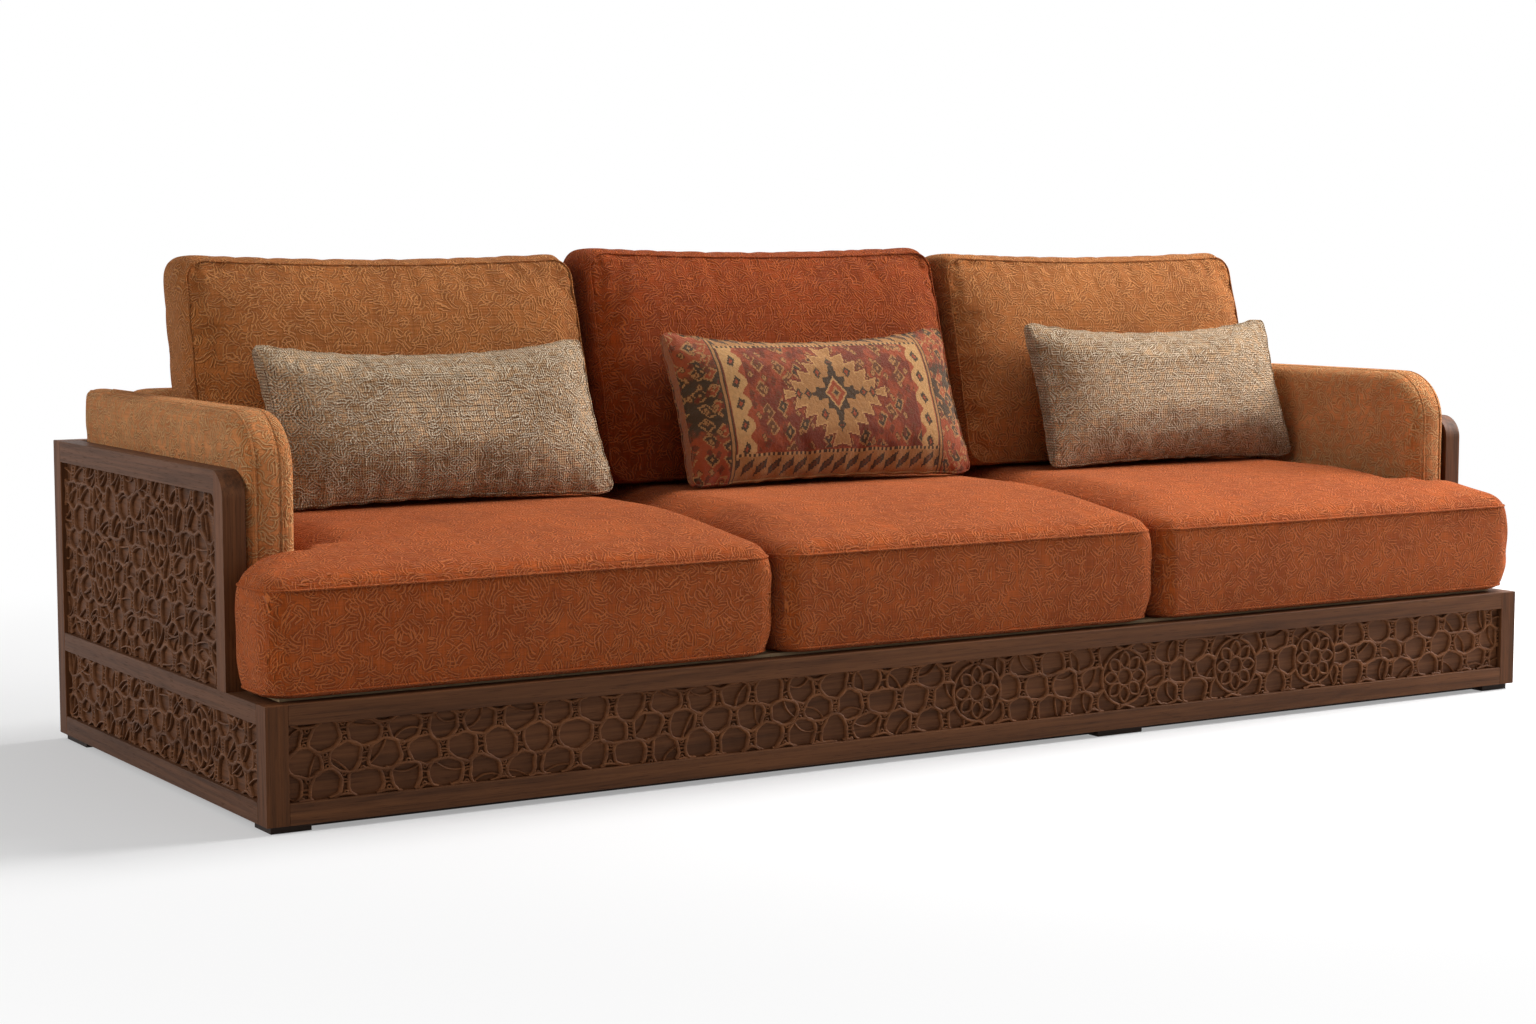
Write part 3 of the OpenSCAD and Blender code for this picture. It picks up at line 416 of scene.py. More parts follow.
def lattice_ribs(width, height, eye_cells, row_shift, chords):
    """Each rib of a panel. Flowers take the place of the eye cells."""
    middle = np.array([width / 2, height / 2 + row_shift])
    eyes = [middle + np.array([cell_x(i, j), j * row_pitch])
            for i, j in eye_cells]
    rows = math.ceil(height / row_pitch / 2) + 1
    columns = math.ceil(width / column_pitch / 2) + 1
    kept = []
    for j in range(-rows, rows + 1):
        for i in range(-columns, columns + 1):
            at = middle + np.array([cell_x(i, j), j * row_pitch])
            if any(np.hypot(*(at - eye)) < flower_radius for eye in eyes):
                continue
            for line, *rest in cell_ribs(i, j, middle, chords):
                away = [np.hypot(*(line - eye).T) for eye in eyes]
                far = np.maximum(1, (flower_radius + rib / 2)
                                 / np.min(away, 0))
                hub = np.array(eyes)[np.argmin(away, 0)]
                kept.append((hub + (line - hub) * far[:, None], *rest))
    for eye in eyes:
        for n, outline in enumerate(flower_outlines(eye)):
            kept.append((grown(outline, rib / 2), rib,
                         0.3 if n % 2 else 0.0, True))
    return kept


def in_panel(line, closed, width, height, radius):
    """Cuts a rib where it runs under the frame round the panel."""
    def held(p):
        """The point itself, or the nearest one on the edge if outside."""
        x, y = min(max(p[0], 0.0), width), min(max(p[1], 0.0), height)
        v = np.array([x - radius, y - (height - radius)])
        far = np.hypot(*v)
        if v[0] < 0 < v[1] and far > radius:
            x, y = v * radius / far + (radius, height - radius)
        return np.array([x, y])

    stops = [held(p) for p in line]
    inside = [np.hypot(*(p - q)) < 0.01 for p, q in zip(line, stops)]
    if all(inside):
        return [(np.array(stops), closed)]
    count = len(line)
    first = inside.index(False)
    order = ([(first + k) % count for k in range(count + 1)] if closed
             else list(range(count)))
    runs, run = [], []
    for place, k in enumerate(order):
        if inside[k]:
            if not run and place:
                run.append(stops[order[place - 1]])
            run.append(stops[k])
        elif run:
            runs.append(run + [stops[k]])
            run = []
    if len(run) > 1:
        runs.append(run)
    return [(np.array(run), False) for run in runs if len(run) > 2]


def new_piece(name, points, faces, smooth=True):
    """A mesh piece from points in metres, at its place on the object."""
    mesh = bpy.data.meshes.new(name)
    mesh.from_pydata([tuple(p) for p in points], [],
                     [tuple(int(k) for k in f) for f in faces])
    mesh.polygons.foreach_set("use_smooth", [smooth] * len(mesh.polygons))
    made = bpy.data.objects.new(name, mesh)
    bpy.context.collection.objects.link(made)
    return made


def hoops(count, sides, closed, start=0):
    """Faces between rings of points that follow each other."""
    faces = []
    for k in range(count if closed else count - 1):
        here, after = start + k * sides, start + (k + 1) % count * sides
        for a in range(sides):
            b = (a + 1) % sides
            faces.append((here + a, here + b, after + b, after + a))
    return faces


def tube(route, radius, sides=8, closed=False):
    """Points and faces of a round strip along a route of points."""
    route = np.array(route)
    ahead = (np.roll(route, -1, 0) - np.roll(route, 1, 0) if closed
             else np.gradient(route, axis=0))
    ahead /= np.linalg.norm(ahead, axis=1)[:, None]
    lean = np.array([0.31, 0.52, 0.79])
    points = []
    across = np.cross(ahead[0], lean)
    for at, way in zip(route, ahead):
        across = across - way * (across @ way)
        across /= np.linalg.norm(across)
        other = np.cross(way, across)
        for a in range(sides):
            turn = 2 * math.pi * a / sides
            points.append(at + radius * (across * math.cos(turn)
                                         + other * math.sin(turn)))
    return points, hoops(len(route), sides, closed)


# The section of a rib as steps across its width and depths below its crest.
# The two outer points stand on the backing board.
rib_section = ((-0.46, 1.4), (-0.22, 0.2), (0.22, 0.0), (0.46, 1.4))


def stood(facing, low, high, x, y, depth):
    """A point of a panel that faces front, left or right, in metres."""
    spot = {"front": (low[0] + x, low[1] + depth),
            "left": (low[0] + depth, low[1] + x),
            "right": (high[0] - depth, low[1] + x)}[facing]
    return (spot[0] / 1000, spot[1] / 1000, (low[2] + y) / 1000)


def carved_panel(node, facing, corner_radius, eye_cells, row_shift, chords):
    """The lattice that replaces a CAD panel."""
    low, high = (np.array(c) * 1000 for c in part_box(node))
    thick = min(high - low)
    width = max(high[0] - low[0], high[1] - low[1])
    height = high[2] - low[2]
    points, faces = [], []
    for line, wide, drop, closed in lattice_ribs(
            width, height, eye_cells, row_shift, chords):
        for run, loop in in_panel(line, closed, width, height,
                                  corner_radius):
            ahead = (np.roll(run, -1, 0) - np.roll(run, 1, 0) if loop
                     else np.gradient(run, axis=0))
            ahead /= np.maximum(np.hypot(*ahead.T), 1e-6)[:, None]
            side = np.stack([-ahead[:, 1], ahead[:, 0]], 1)
            count, start = len(run), len(points)
            for p, way in zip(run, side):
                for across, depth in ((-0.5, thick),
                                      *((a, drop + b)
                                        for a, b in rib_section),
                                      (0.5, thick)):
                    q = p + way * across * wide
                    points.append((min(max(q[0], 0.0), width),
                                   min(max(q[1], 0.0), height), depth))
            faces += hoops(count, 6, loop, start)
            if not loop:
                faces.append([start + a for a in range(5, -1, -1)])
                faces.append([start + count * 6 - 6 + a for a in range(6)])
    made = new_piece(node + "_carving",
                     [stood(facing, low, high, *p) for p in points], faces)
    made.data.set_sharp_from_angle(angle=math.radians(60))
    made.data.validate()
    return made


carved_x = walnut("carved_walnut_lengthwise", 0, colour(142, 90, 54),
                  colour(86, 51, 30), 4)
# The crosswise carving and board finishes are darker copies of the same
# walnut: painted shade on the side panels.
shaded_carved_y = walnut("carved_walnut_side_shaded", 1, colour(126, 80, 48),
                  colour(75, 45, 27), 5)
board_x = walnut("walnut_board_lengthwise", 0, colour(126, 79, 48),
                 colour(70, 42, 25), 6)
shaded_board_y = walnut("walnut_board_side_shaded", 1, colour(116, 73, 45),
                 colour(64, 39, 24), 7)

front_flowers = [(0, 0), (5, 0), (9, 0), (12, 0)]
side_flowers = [(-3, 0)]
arm_flowers = [(-2, 1), (2, -1)]
panels = [("front_fret", "front", base_corner, front_flowers, 0.0, 0)]
panels += [(side + "_base_fret", side, base_corner, side_flowers, 0.0, 2)
           for side in ("left", "right")]
panels += [(side + "_arm_fret", side, arm_corner, arm_flowers,
            row_pitch / 2, 2) for side in ("left", "right")]
for node, facing, radius, flowers, shift, chords in panels:
    carving = carved_panel(node, facing, radius, flowers, shift, chords)
    # Side panels take the darker copy, which is painted shade.
    carving.data.materials.append(carved_x if facing == "front"
                                  else shaded_carved_y)
    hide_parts(node)
    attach(carving, "frame")

for board in ("left_base_board", "right_base_board",
              "left_arm_board", "right_arm_board"):
    eased(board, shaded_board_y, 0.0005)
for board in ("front_board", "back_base_board", "back_board"):
    eased(board, board_x, 0.0005)


# Arm frames: a stout upright stile at the front and a top rail, joined at
# the turn of the rounded corner and glued into the rear post.
for side in ("left", "right"):
    eased(side + "_arm_stile", grain_z, 0.0016)
    eased(side + "_arm_top_rail", shaded_grain_y, 0.0016)


# Back frame: three long rails with two upright bars screwed over the back
# board from outside. It stands against a wall and is kept plain.
for rail in ("back_mid_rail", "back_bottom_rail", "back_top_rail"):
    eased(rail, grain_x)
for bar in ("back_left_muntin", "back_right_muntin"):
    eased(bar, grain_z)


# Inner frame: sawn pale bearers under three birch plywood decks, which have
# rows of air holes. All of it is out of sight once the cushions are in.
def pale_timber(name, along, light, deep):
    """Bare sawn softwood or plywood with a broad soft grain."""
    made, place = new_finish(name)
    scale = [40.0, 40.0, 40.0]
    scale[along] = 1.5
    grain = (place * tuple(scale)).mottle(1.0, 4.0, 0.6, 0.3)
    fibre = (place * tuple(part * 9 for part in scale)).mottle(1.0, 2.0)
    mask = grain.ramp(0.3, 0.7) * 0.7 + fibre * 0.3
    relief = place.node("Bump", {"Strength": 0.3, "Distance": 0.0005,
                                 "Height": fibre})
    return set_finish(made, base_color=mask.blend(deep, light),
                      roughness=0.62 + fibre * 0.15, normal=relief)


bearer_x = pale_timber("bearer_lengthwise", 0, colour(206, 172, 126),
                       colour(168, 128, 84))
bearer_y = pale_timber("bearer_crosswise", 1, colour(206, 172, 126),
                       colour(168, 128, 84))
deck_wood = pale_timber("deck_birch", 0, colour(219, 193, 152),
                        colour(190, 157, 113))
for bearer in ("front_bearer", "rear_bearer"):
    eased(bearer, bearer_x)
for bearer in ("left_bearer", "right_bearer", "left_cross_bearer",
               "middle_cross_bearer", "right_cross_bearer"):
    eased(bearer, bearer_y)
for deck in ("left_deck", "middle_deck", "right_deck"):
    eased(deck, deck_wood, 0.0004)


# Feet: low near-black hardwood blocks, set back from the edge,
# with a strip between them that closes the gap along the front. The
# strip's near-black colour is painted shade for the shadow in that gap.
foot_and_gap_shade = walnut("dark_foot", 0, colour(52, 36, 27), colour(28, 19, 14), 8)
for foot in ("front_left_foot", "front_right_foot", "rear_left_foot",
             "rear_right_foot", "front_middle_foot", "rear_middle_foot",
             "front_toe_strip"):
    eased(foot, foot_and_gap_shade, 0.0008)


# Arm and back padding: firm foam in a chenille cover, glued to the boards.
# Two welted seams run round the top and down the front, with a flat band
# between them, and the pads meet at the rear corners.
def steps(*stops):
    """Stations between the stops, each stop followed by a count."""
    places = [stops[0]]
    for count, stop in zip(stops[1::2], stops[2::2]):
        places += list(np.linspace(places[-1], stop, count + 1)[1:])
    return np.array(places)


def stuffed(xs, ys, levels, at, notch=(0, 0)):
    """A closed cover: two faces on one grid, and rings of points between.

    at(i, j, k) gives the points of level k for arrays of stations. The grid
    lacks the block left of notch[0] and behind notch[1]. Also returns the
    ring of point numbers of each level.
    """
    nx, ny = len(xs) - 1, len(ys) - 1
    cut_i, cut_j = notch if notch[0] else (0, ny)
    ring = ([(i, 0) for i in range(nx)] + [(nx, j) for j in range(ny)]
            + [(i, ny) for i in range(nx, cut_i, -1)]
            + [(cut_i, j) for j in range(ny, cut_j, -1)]
            + [(i, cut_j) for i in range(cut_i, 0, -1)]
            + [(0, j) for j in range(cut_j, 0, -1)])
    used = {}
    for j in range(ny + 1):
        for i in range(nx + 1):
            if i >= cut_i or j <= cut_j:
                used[(i, j)] = len(used)
    i, j = np.array(list(used)).T
    ring_i, ring_j = np.array(ring).T
    points = [at(i, j, 0), at(i, j, levels - 1)]
    points += [at(ring_i, ring_j, k) for k in range(1, levels - 1)]
    blocks = [(i, j) for j in range(ny) for i in range(nx)
              if i >= cut_i or j < cut_j]
    size = len(used)
    faces = [[used[(i, j)], used[(i, j + 1)], used[(i + 1, j + 1)],
              used[(i + 1, j)]] for i, j in blocks]
    faces += [[size + k for k in reversed(face)] for face in faces]
    rings = [np.array([used[p] for p in ring])]
    rings += [2 * size + k * len(ring) + np.arange(len(ring))
              for k in range(levels - 2)]
    rings += [rings[0] + size]
    for upper, lower in zip(rings, rings[1:]):
        for k in range(len(ring)):
            n = (k + 1) % len(ring)
            faces.append([upper[k], upper[n], lower[n], lower[k]])
    return np.concatenate(points), faces, rings


def swell(t, reach):
    """Rise of a stuffed face at distance t from its seam."""
    s = 1 - np.clip(t / reach, 0, 1)
    return 1 - s * s


def drawn(t, by, reach):
    """How far a point near an edge moves when the edge moves in."""
    return by * np.maximum(0, 1 - t / reach)


def round_off(x, y, corner, sx, sy, radius):
    """Turns a square corner into a round one, sx and sy pointing in."""
    a = radius - (x - corner[0]) * sx
    b = radius - (y - corner[1]) * sy
    near = (a > 0) & (b > 0)
    size = np.where(near, np.hypot(a, b), 1.0)
    k = np.where(near, np.maximum(a, b) / size, 1.0)
    return (np.where(near, corner[0] + sx * (radius - a * k), x),
            np.where(near, corner[1] + sy * (radius - b * k), y))


def edge_back(t, radius):
    """How far a rounded edge stands back at depth t from its face."""
    return 0.0 if t >= radius else radius - math.sqrt(
        radius ** 2 - (radius - t) ** 2)


def bowed_out(share, by):
    """Bulge of a band at a share of its width, full in the middle."""
    return by * math.sin(math.pi * share)


def finer(made):
    """Smooths a cover with one round of subdivision."""
    smooth = made.modifiers.new("smooth", "SUBSURF")
    smooth.levels = smooth.render_levels = 1
    smooth.boundary_smooth = "PRESERVE_CORNERS"


def add_skin(made, points, faces):
    """Adds welts or bands to the mesh of a cover."""
    mesh = made.data
    old = [v.co[:] for v in mesh.vertices]
    skin = [list(f.vertices) for f in mesh.polygons]
    count = len(old)
    skin += [[int(k) + count for k in f] for f in faces]
    mesh.clear_geometry()
    mesh.from_pydata(old + [tuple(p) for p in points], [], skin)
    mesh.polygons.foreach_set("use_smooth", [True] * len(mesh.polygons))


slack_covers = []


def let_settle(made, fixed, slack, cap, low, high):
    """Notes a cover for the cloth run.

    fixed are the numbers of the points that are sewn down, slack is the
    share of spare fabric, cap the longest move, low and high the CAD box.
    """
    held = np.zeros(len(made.data.vertices), bool)
    held[fixed] = True
    slack_covers.append((made, held, slack, cap, np.array(low),
                         np.array(high)))


def run_cloth(cloth_frames=18):
    """Lets the noted covers fill and crease, and keeps their new shape."""
    before = []
    for made, held, slack, cap, low, high in slack_covers:
        group = made.vertex_groups.new(name="sewn")
        group.add([int(k) for k in np.flatnonzero(held)], 1.0, "REPLACE")
        cloth = made.modifiers.new("cloth", "CLOTH")
        made.modifiers.move(len(made.modifiers) - 1, 0)
        stuff = cloth.settings
        stuff.vertex_group_mass = "sewn"
        stuff.quality = 4
        stuff.mass = 0.02
        stuff.tension_stiffness = stuff.compression_stiffness = 12
        stuff.shear_stiffness = 4
        stuff.bending_stiffness = 0.12
        stuff.use_pressure = True
        stuff.uniform_pressure_force = 4.0
        stuff.shrink_min = -slack
        stuff.effector_weights.gravity = 0
        cloth.collision_settings.use_collision = False
        cloth.collision_settings.use_self_collision = False
        cloth.point_cache.frame_end = cloth_frames
        before.append(np.array([v.co[:] for v in made.data.vertices]))
        for other in made.modifiers:
            if other.type == "SUBSURF":
                other.show_viewport = False
    scene = bpy.context.scene
    scene.frame_end = cloth_frames
    for number in range(1, cloth_frames + 1):
        scene.frame_set(number)
    graph = bpy.context.evaluated_depsgraph_get()
    for was, (made, held, slack, cap, low, high) in zip(before,
                                                        slack_covers):
        count = len(was)
        now = np.empty(count * 3)
        made.evaluated_get(graph).data.vertices.foreach_get("co", now)
        move = now.reshape(-1, 3) - was
        far = np.maximum(1, np.linalg.norm(move, axis=1) / cap)
        now = np.clip(was + move / far[:, None], low, high)
        now[held] = was[held]
        made.modifiers.remove(made.modifiers["cloth"])
        made.vertex_groups.clear()
        made.data.vertices.foreach_set("co", now.ravel())
        made.data.update()
        for other in made.modifiers:
            other.show_viewport = True
    scene.frame_set(1)


def sum_of_waves(place, turns):
    """A grid of small knots, turns of the wave to a metre."""
    waves = None
    for number in range(3):
        wave = (place.axis(number) * turns * 2.0).calc("SINE")
        waves = wave if waves is None else waves + wave
    return waves


def chenille(name, pale, mid, deep, stroke_highlight=0.50, weave=1500.0,
             knot=0.10, depth=0.0048, size=0.85, ribbed=False):
    """Soft pile fabric with raised curved strokes and a fine weave.

    The strokes lie in patches, one to a Voronoi cell, each turned its own
    way in the plane of the fabric. size scales them and depth lifts them.
    Two sets of patches lie over each other, and one fills the other's gaps.
    The strokes carry a painted highlight, and the ditch round them, the low
    points of the weave and the grooves of a ribbed end are painted darker
    as painted shade.
    """
    stroke_pitch, stroke_bow = 0.0070 * size, 22.0 / size
    half_long, half_wide, fade = 0.0125 * size, 0.0070 * size, 0.0020 * size
    ditch_shade, cord_pitch = 0.70, 0.0052
    made, place = new_finish(name)
    face = place.node("NewGeometry", out="Normal")
    bend = place.node("TexNoise", {"Vector": place, "Scale": 26.0 / size,
                                   "Detail": 1.0}, out="Color")
    warped = place + (bend - (0.5, 0.5, 0.5)) * (0.022 * size)
    marks = patch = None
    for cells, shift in ((36.0, 0.0), (44.0, 0.37)):
        spot = warped + (shift, shift, shift)
        cell = place.node("TexVoronoi", {"Vector": spot,
                                         "Scale": cells / size},
                          out="Position")
        hue = cell.also("Color") - (0.5, 0.5, 0.5)
        local = spot - cell
        way = place.node("VectorMath", {0: place.worked(
            "CROSS_PRODUCT", face, hue)}, operation="NORMALIZE")
        over = place.worked("CROSS_PRODUCT", face, way)
        along, across = (place.node("VectorMath", {0: local, 1: direction},
                                    out="Value", operation="DOT_PRODUCT")
                         for direction in (way, over))
        curved = across + along * along * stroke_bow
        lines = (curved * (2 * math.pi / stroke_pitch)).calc("COSINE")
        spread = (abs(along).ramp(half_long, half_long - fade)
                  * abs(curved).ramp(half_wide, half_wide - 0.7 * fade))
        lines = (lines * -1.0).ramp(-0.1, 0.9) * spread
        marks = lines if marks is None else marks.calc("MAXIMUM", lines)
        patch = spread if patch is None else patch.calc("MAXIMUM", spread)
    knots = sum_of_waves(place, weave)
    slub = (place * (14.0, 14.0, 330.0)).mottle(1.0, 1.0)
    warp = (place * (330.0, 14.0, 14.0)).mottle(1.0, 1.0)
    threads = (slub + warp) * 0.5
    nap = place.mottle(6.0, 4.0, 0.7)
    shade = (nap.ramp(0.40, 0.60) * 0.45
             + bend.also("Fac").ramp(0.3, 0.7) * 0.15
             + threads.ramp(0.40, 0.60) * 0.40)
    tone = shade.blend(deep, mid)
    # Painted shade: the low points of the weave are darker.
    tone = (knots.ramp(0.4, -1.2) * knot * 2.0).blend(tone, deep)
    # Painted shade in the ditch round each stroke, then a painted highlight on
    # the strokes.
    tone = ((patch - marks) * ditch_shade).blend(tone, deep)
    tone = (marks * stroke_highlight).blend(tone, pale)
    height = marks + knots * knot + threads * 0.9
    if ribbed:
        end = abs(face.also("True Normal").axis(0)).ramp(0.60, 0.75)
        cords = (place.axis(2) * (2 * math.pi / cord_pitch)).calc("SINE")
        height = height * (1 - end) + cords * end * 0.9
        # Painted shade: the grooves between the cords are darker.
        tone = (end * cords.ramp(-0.2, -1.0) * 0.7).blend(tone, deep)
    relief = place.node("Bump", {"Strength": 1.0, "Distance": depth,
                                 "Height": height})
    return set_finish(made, base_color=tone, normal=relief, roughness=0.86,
                      sheen_weight=0.38, sheen_roughness=0.34,
                      sheen_tint=tuple(0.22 + 0.78 * part for part in pale),
                      specular_ior_level=0.08)


caramel = chenille("caramel_chenille", colour(255, 208, 144),
                   colour(255, 165, 99), colour(200, 117, 59))


def welt_route(points, ring, wanted):
    """The points of one seam that satisfy wanted, in order along it."""
    route = np.array([points[k] for k in ring if wanted(points[k])])
    gaps = np.linalg.norm(np.roll(route, -1, 0) - route, axis=1)
    return np.roll(route, -(int(gaps.argmax()) + 1), 0)


arm_box = [np.array(c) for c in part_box("left_arm_pad")]
arm_length = arm_box[1][1] - arm_box[0][1]
arm_height = arm_box[1][2] - arm_box[0][2]
arm_thick = arm_box[1][0] - arm_box[0][0]
wood_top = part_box("left_arm_top_rail")[1][2]
corner_r, outer_r, inner_r, rear_r = 0.100, 0.022, 0.030, 0.044
outer_seam, band_bulge, seam_draw = 0.018, 0.0022, 0.0012
pad_welt, side_bulge = 0.0024, 0.004
arm_depths = steps(0, 5, outer_seam, 6, arm_thick - inner_r, 6, arm_thick)
arm_seams = (5, 11)


def pad_edge(k, depths, seams, first_r, last_r):
    """How far ring k of a pad stands in from its widest line."""
    t, thick = depths[k], depths[-1]
    low, high = (depths[seam] for seam in seams)
    inset = (edge_back(t, first_r) if t < thick / 2
             else edge_back(thick - t, last_r))
    if low < t < high:
        inset -= bowed_out((t - low) / (high - low), band_bulge)
    return inset + seam_draw if k in seams else inset


def arm_cover(side):
    """The cover of one arm pad, built as the left one and mirrored."""
    xs = steps(0, 10, corner_r, 32, arm_length - 0.05, 6, arm_length)
    ys = steps(0, 10, arm_height - 0.20, 8, arm_height - corner_r, 10,
               arm_height)

    def at(i, j, k):
        t = arm_depths[k]
        inset = pad_edge(k, arm_depths, arm_seams, outer_r, inner_r)
        y = xs[i] + drawn(xs[i], inset, corner_r)
        z = ys[j] - drawn(arm_height - ys[j], inset, corner_r)
        y, z = round_off(y, z, (inset, arm_height - inset), 1, -1,
                         corner_r - inset)
        y = y - drawn(arm_length - y, edge_back(t, rear_r), 0.05)
        x = np.full(len(i), t)
        if k == 0:
            above = np.clip((arm_box[0][2] + z - wood_top) / 0.03, 0, 1)
            full = (swell(arm_height - z, 0.05) * swell(y, 0.06)
                    * swell(arm_length - y, 0.06) * above)
            x = x - side_bulge * full
        return np.stack([x, y, z], 1)

    points, faces, rings = stuffed(xs, ys, len(arm_depths), at)
    points = points + arm_box[0]
    if side == "right":
        points[:, 0] *= -1
        faces = [face[::-1] for face in faces]
    made = new_piece(side + "_arm_cover", points, faces)
    for k in arm_seams:
        route = welt_route(points, rings[k], lambda p: (
            p[2] > arm_box[0][2] + 0.02 and p[1] < arm_box[1][1] - 0.004))
        add_skin(made, *tube(route, pad_welt))
    return made


for side in ("left", "right"):
    cover = arm_cover(side)
    cover.data.materials.append(caramel)
    finer(cover)
    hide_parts(side + "_arm_pad")
    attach(cover, "frame")

back_box = [np.array(c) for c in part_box("back_pad")]
back_long, back_thick, back_tall = back_box[1] - back_box[0]
back_depths = steps(0, 6, inner_r, 6, back_thick - outer_seam, 5,
                    back_thick)
back_seams = (6, 12)


def back_pad_cover():
    """The cover of the padding along the back, seamed like the arms."""
    xs = steps(0, 60, back_long)
    ys = steps(0, 12, back_tall - 0.1, 8, back_tall)

    def at(i, j, k):
        inset = pad_edge(k, back_depths, back_seams, inner_r, outer_r)
        z = ys[j] - drawn(back_tall - ys[j], inset, 0.1)
        return np.stack([xs[i], np.full(len(i), back_depths[k]), z], 1)

    points, faces, rings = stuffed(xs, ys, len(back_depths), at)
    faces = [face[::-1] for face in faces]
    points = points + back_box[0]
    made = new_piece("back_cover", points, faces)
    for k in back_seams:
        route = welt_route(points, rings[k], lambda p: (
            p[2] > back_box[1][2] - 0.04
            and abs(p[0]) < back_box[1][0] - 0.001))
        add_skin(made, *tube(route, pad_welt))
    return made


cover = back_pad_cover()
cover.data.materials.append(caramel)
finer(cover)
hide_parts("back_pad")
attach(cover, "frame")


# Seat cushions: foam wrapped in wadding inside a boxed chenille cover with
# a welt at the top edge and another just above the bottom. They lie loose
# on the decks, and the outer two reach round the front of the arms.
rust = chenille("rust_chenille", colour(255, 148, 81),
                colour(221, 108, 44), colour(168, 74, 27))
seat_seam, seat_under, seat_r, seat_welt = 0.005, 0.022, 0.046, 0.0022
seat_foot, seat_band, seat_crown = 0.009, 0.162, 0.053
shoulder_rise, shoulder_reach = 0.022, 0.032
seat_front, seat_side, ear_play = 0.350, 0.104, 0.0004
seat_slack, seat_move = 0.008, 0.0035
middle_steps = (0.127, 0.161)
# How far each ring stands in from the side, and its height, from the top
# seam over the band and the lower seam to the flat underside.
seat_profile = [(seat_seam, seat_foot + seat_band)]
for share in np.linspace(0.08, 0.94, 9):
    seat_profile.append((seat_seam * max(0, 1 - share / 0.3) ** 2
                         + seat_foot * max(0, (share - 0.70) / 0.30) ** 2,
                         seat_foot + seat_band * (1 - share)))
seat_profile += [(0.009, seat_foot), (0.014, 0.003), (seat_under, 0.0)]
seat_seams = (0, 10)


def seat_cover(side):
    """A seat cover. The outer two have an ear in front of the arm."""
    low, high = (np.array(c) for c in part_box(side + "_seat_cushion"))
    width, deep = high[0] - low[0], high[1] - low[1]
    ear_w = ear_d = 0.0
    if side != "middle":
        ear_w = (arm_box[1][0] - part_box("left_seat_cushion")[0][0]
                 + ear_play)
        ear_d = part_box("left_arm_stile")[0][1] - low[1] - ear_play
    r = seat_r
    if ear_w:
        xs = steps(0, 6, r, 7, ear_w, 11, ear_w + seat_side,
                   48, width - seat_side, 6, width - r, 6, width)
        ys = steps(0, 6, r, 7, ear_d - r, 5, ear_d, 16, seat_front,
                   26, deep - seat_side, 6, deep - r, 6, deep)
        notch = (13, 18)
    else:
        xs = steps(0, 6, r, 6, seat_side, 54, width - seat_side,
                   6, width - r, 6, width)
        ys = steps(0, 6, r, 7, middle_steps[0], 5, middle_steps[1],
                   16, seat_front, 26, deep - seat_side, 6, deep - r,
                   6, deep)
        notch = (0, 0)

    def at(i, j, k):
        inset, rise = seat_profile[k]
        x, y = xs[i], ys[j]
        in_ear = (i <= notch[0]) & (j <= notch[1]) & (ear_w > 0)
        behind = (i >= notch[0]) & (j >= notch[1]) & (ear_w > 0)
        from_left = x - np.where(behind, ear_w, 0.0)
        from_rear = np.where(in_ear, ear_d, deep) - y
        px = (x + drawn(from_left, inset, seat_side)
              - drawn(width - x, inset, seat_side))
        py = (y + drawn(y, inset, seat_side)
              - drawn(from_rear, inset,
                      np.where(in_ear, max(ear_d, 0.1) / 2, seat_side)))
        px, py = round_off(px, py, (inset, inset), 1, 1, r)
        px, py = round_off(px, py, (width - inset, inset), -1, 1, r)
        px, py = round_off(px, py, (width - inset, deep - inset), -1, -1, r)
        if ear_w:
            ex, ey = round_off(px, py, (inset, ear_d - inset), 1, -1, r)
            px, py = np.where(in_ear, ex, px), np.where(in_ear, ey, py)
        ex, ey = round_off(px, py, (ear_w + inset, deep - inset), 1, -1, r)
        px, py = np.where(in_ear, px, ex), np.where(in_ear, py, ey)
        z = np.full(len(i), rise)
        if k == 0:
            edge = np.minimum(np.minimum(y, from_left),
                              np.minimum(width - x, from_rear))
            near = np.clip(edge / shoulder_reach, 0, 1)
            z = z + shoulder_rise * np.sqrt(1 - (1 - near) ** 2)
            z = z + (seat_crown * swell(y, seat_front)
                     * swell(from_left, seat_side)
                     * swell(width - x, seat_side)
                     * swell(from_rear, np.where(in_ear, r, seat_side)))
        return np.stack([px, py, z], 1)

    points, faces, rings = stuffed(xs, ys, len(seat_profile), at, notch)
    points = points + np.array([0, low[1], low[2]])
    if side == "right":
        points[:, 0] = high[0] - points[:, 0]
        faces = [face[::-1] for face in faces]
    else:
        points[:, 0] += low[0]
    made = new_piece(side + "_seat_cover", points, faces)
    under = np.flatnonzero(points[:, 2] < low[2] + 0.004)
    for k in seat_seams:
        add_skin(made, *tube(points[rings[k]], seat_welt, closed=True))
    let_settle(made, np.r_[rings[0], rings[10], under,
                           len(points):len(made.data.vertices)],
               seat_slack, seat_move, low, high)
    return made


for side in ("left", "middle", "right"):
    cover = seat_cover(side)
    cover.data.materials.append(rust)
    finer(cover)
    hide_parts(side + "_seat_cushion")
    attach(cover, side + "_seat")


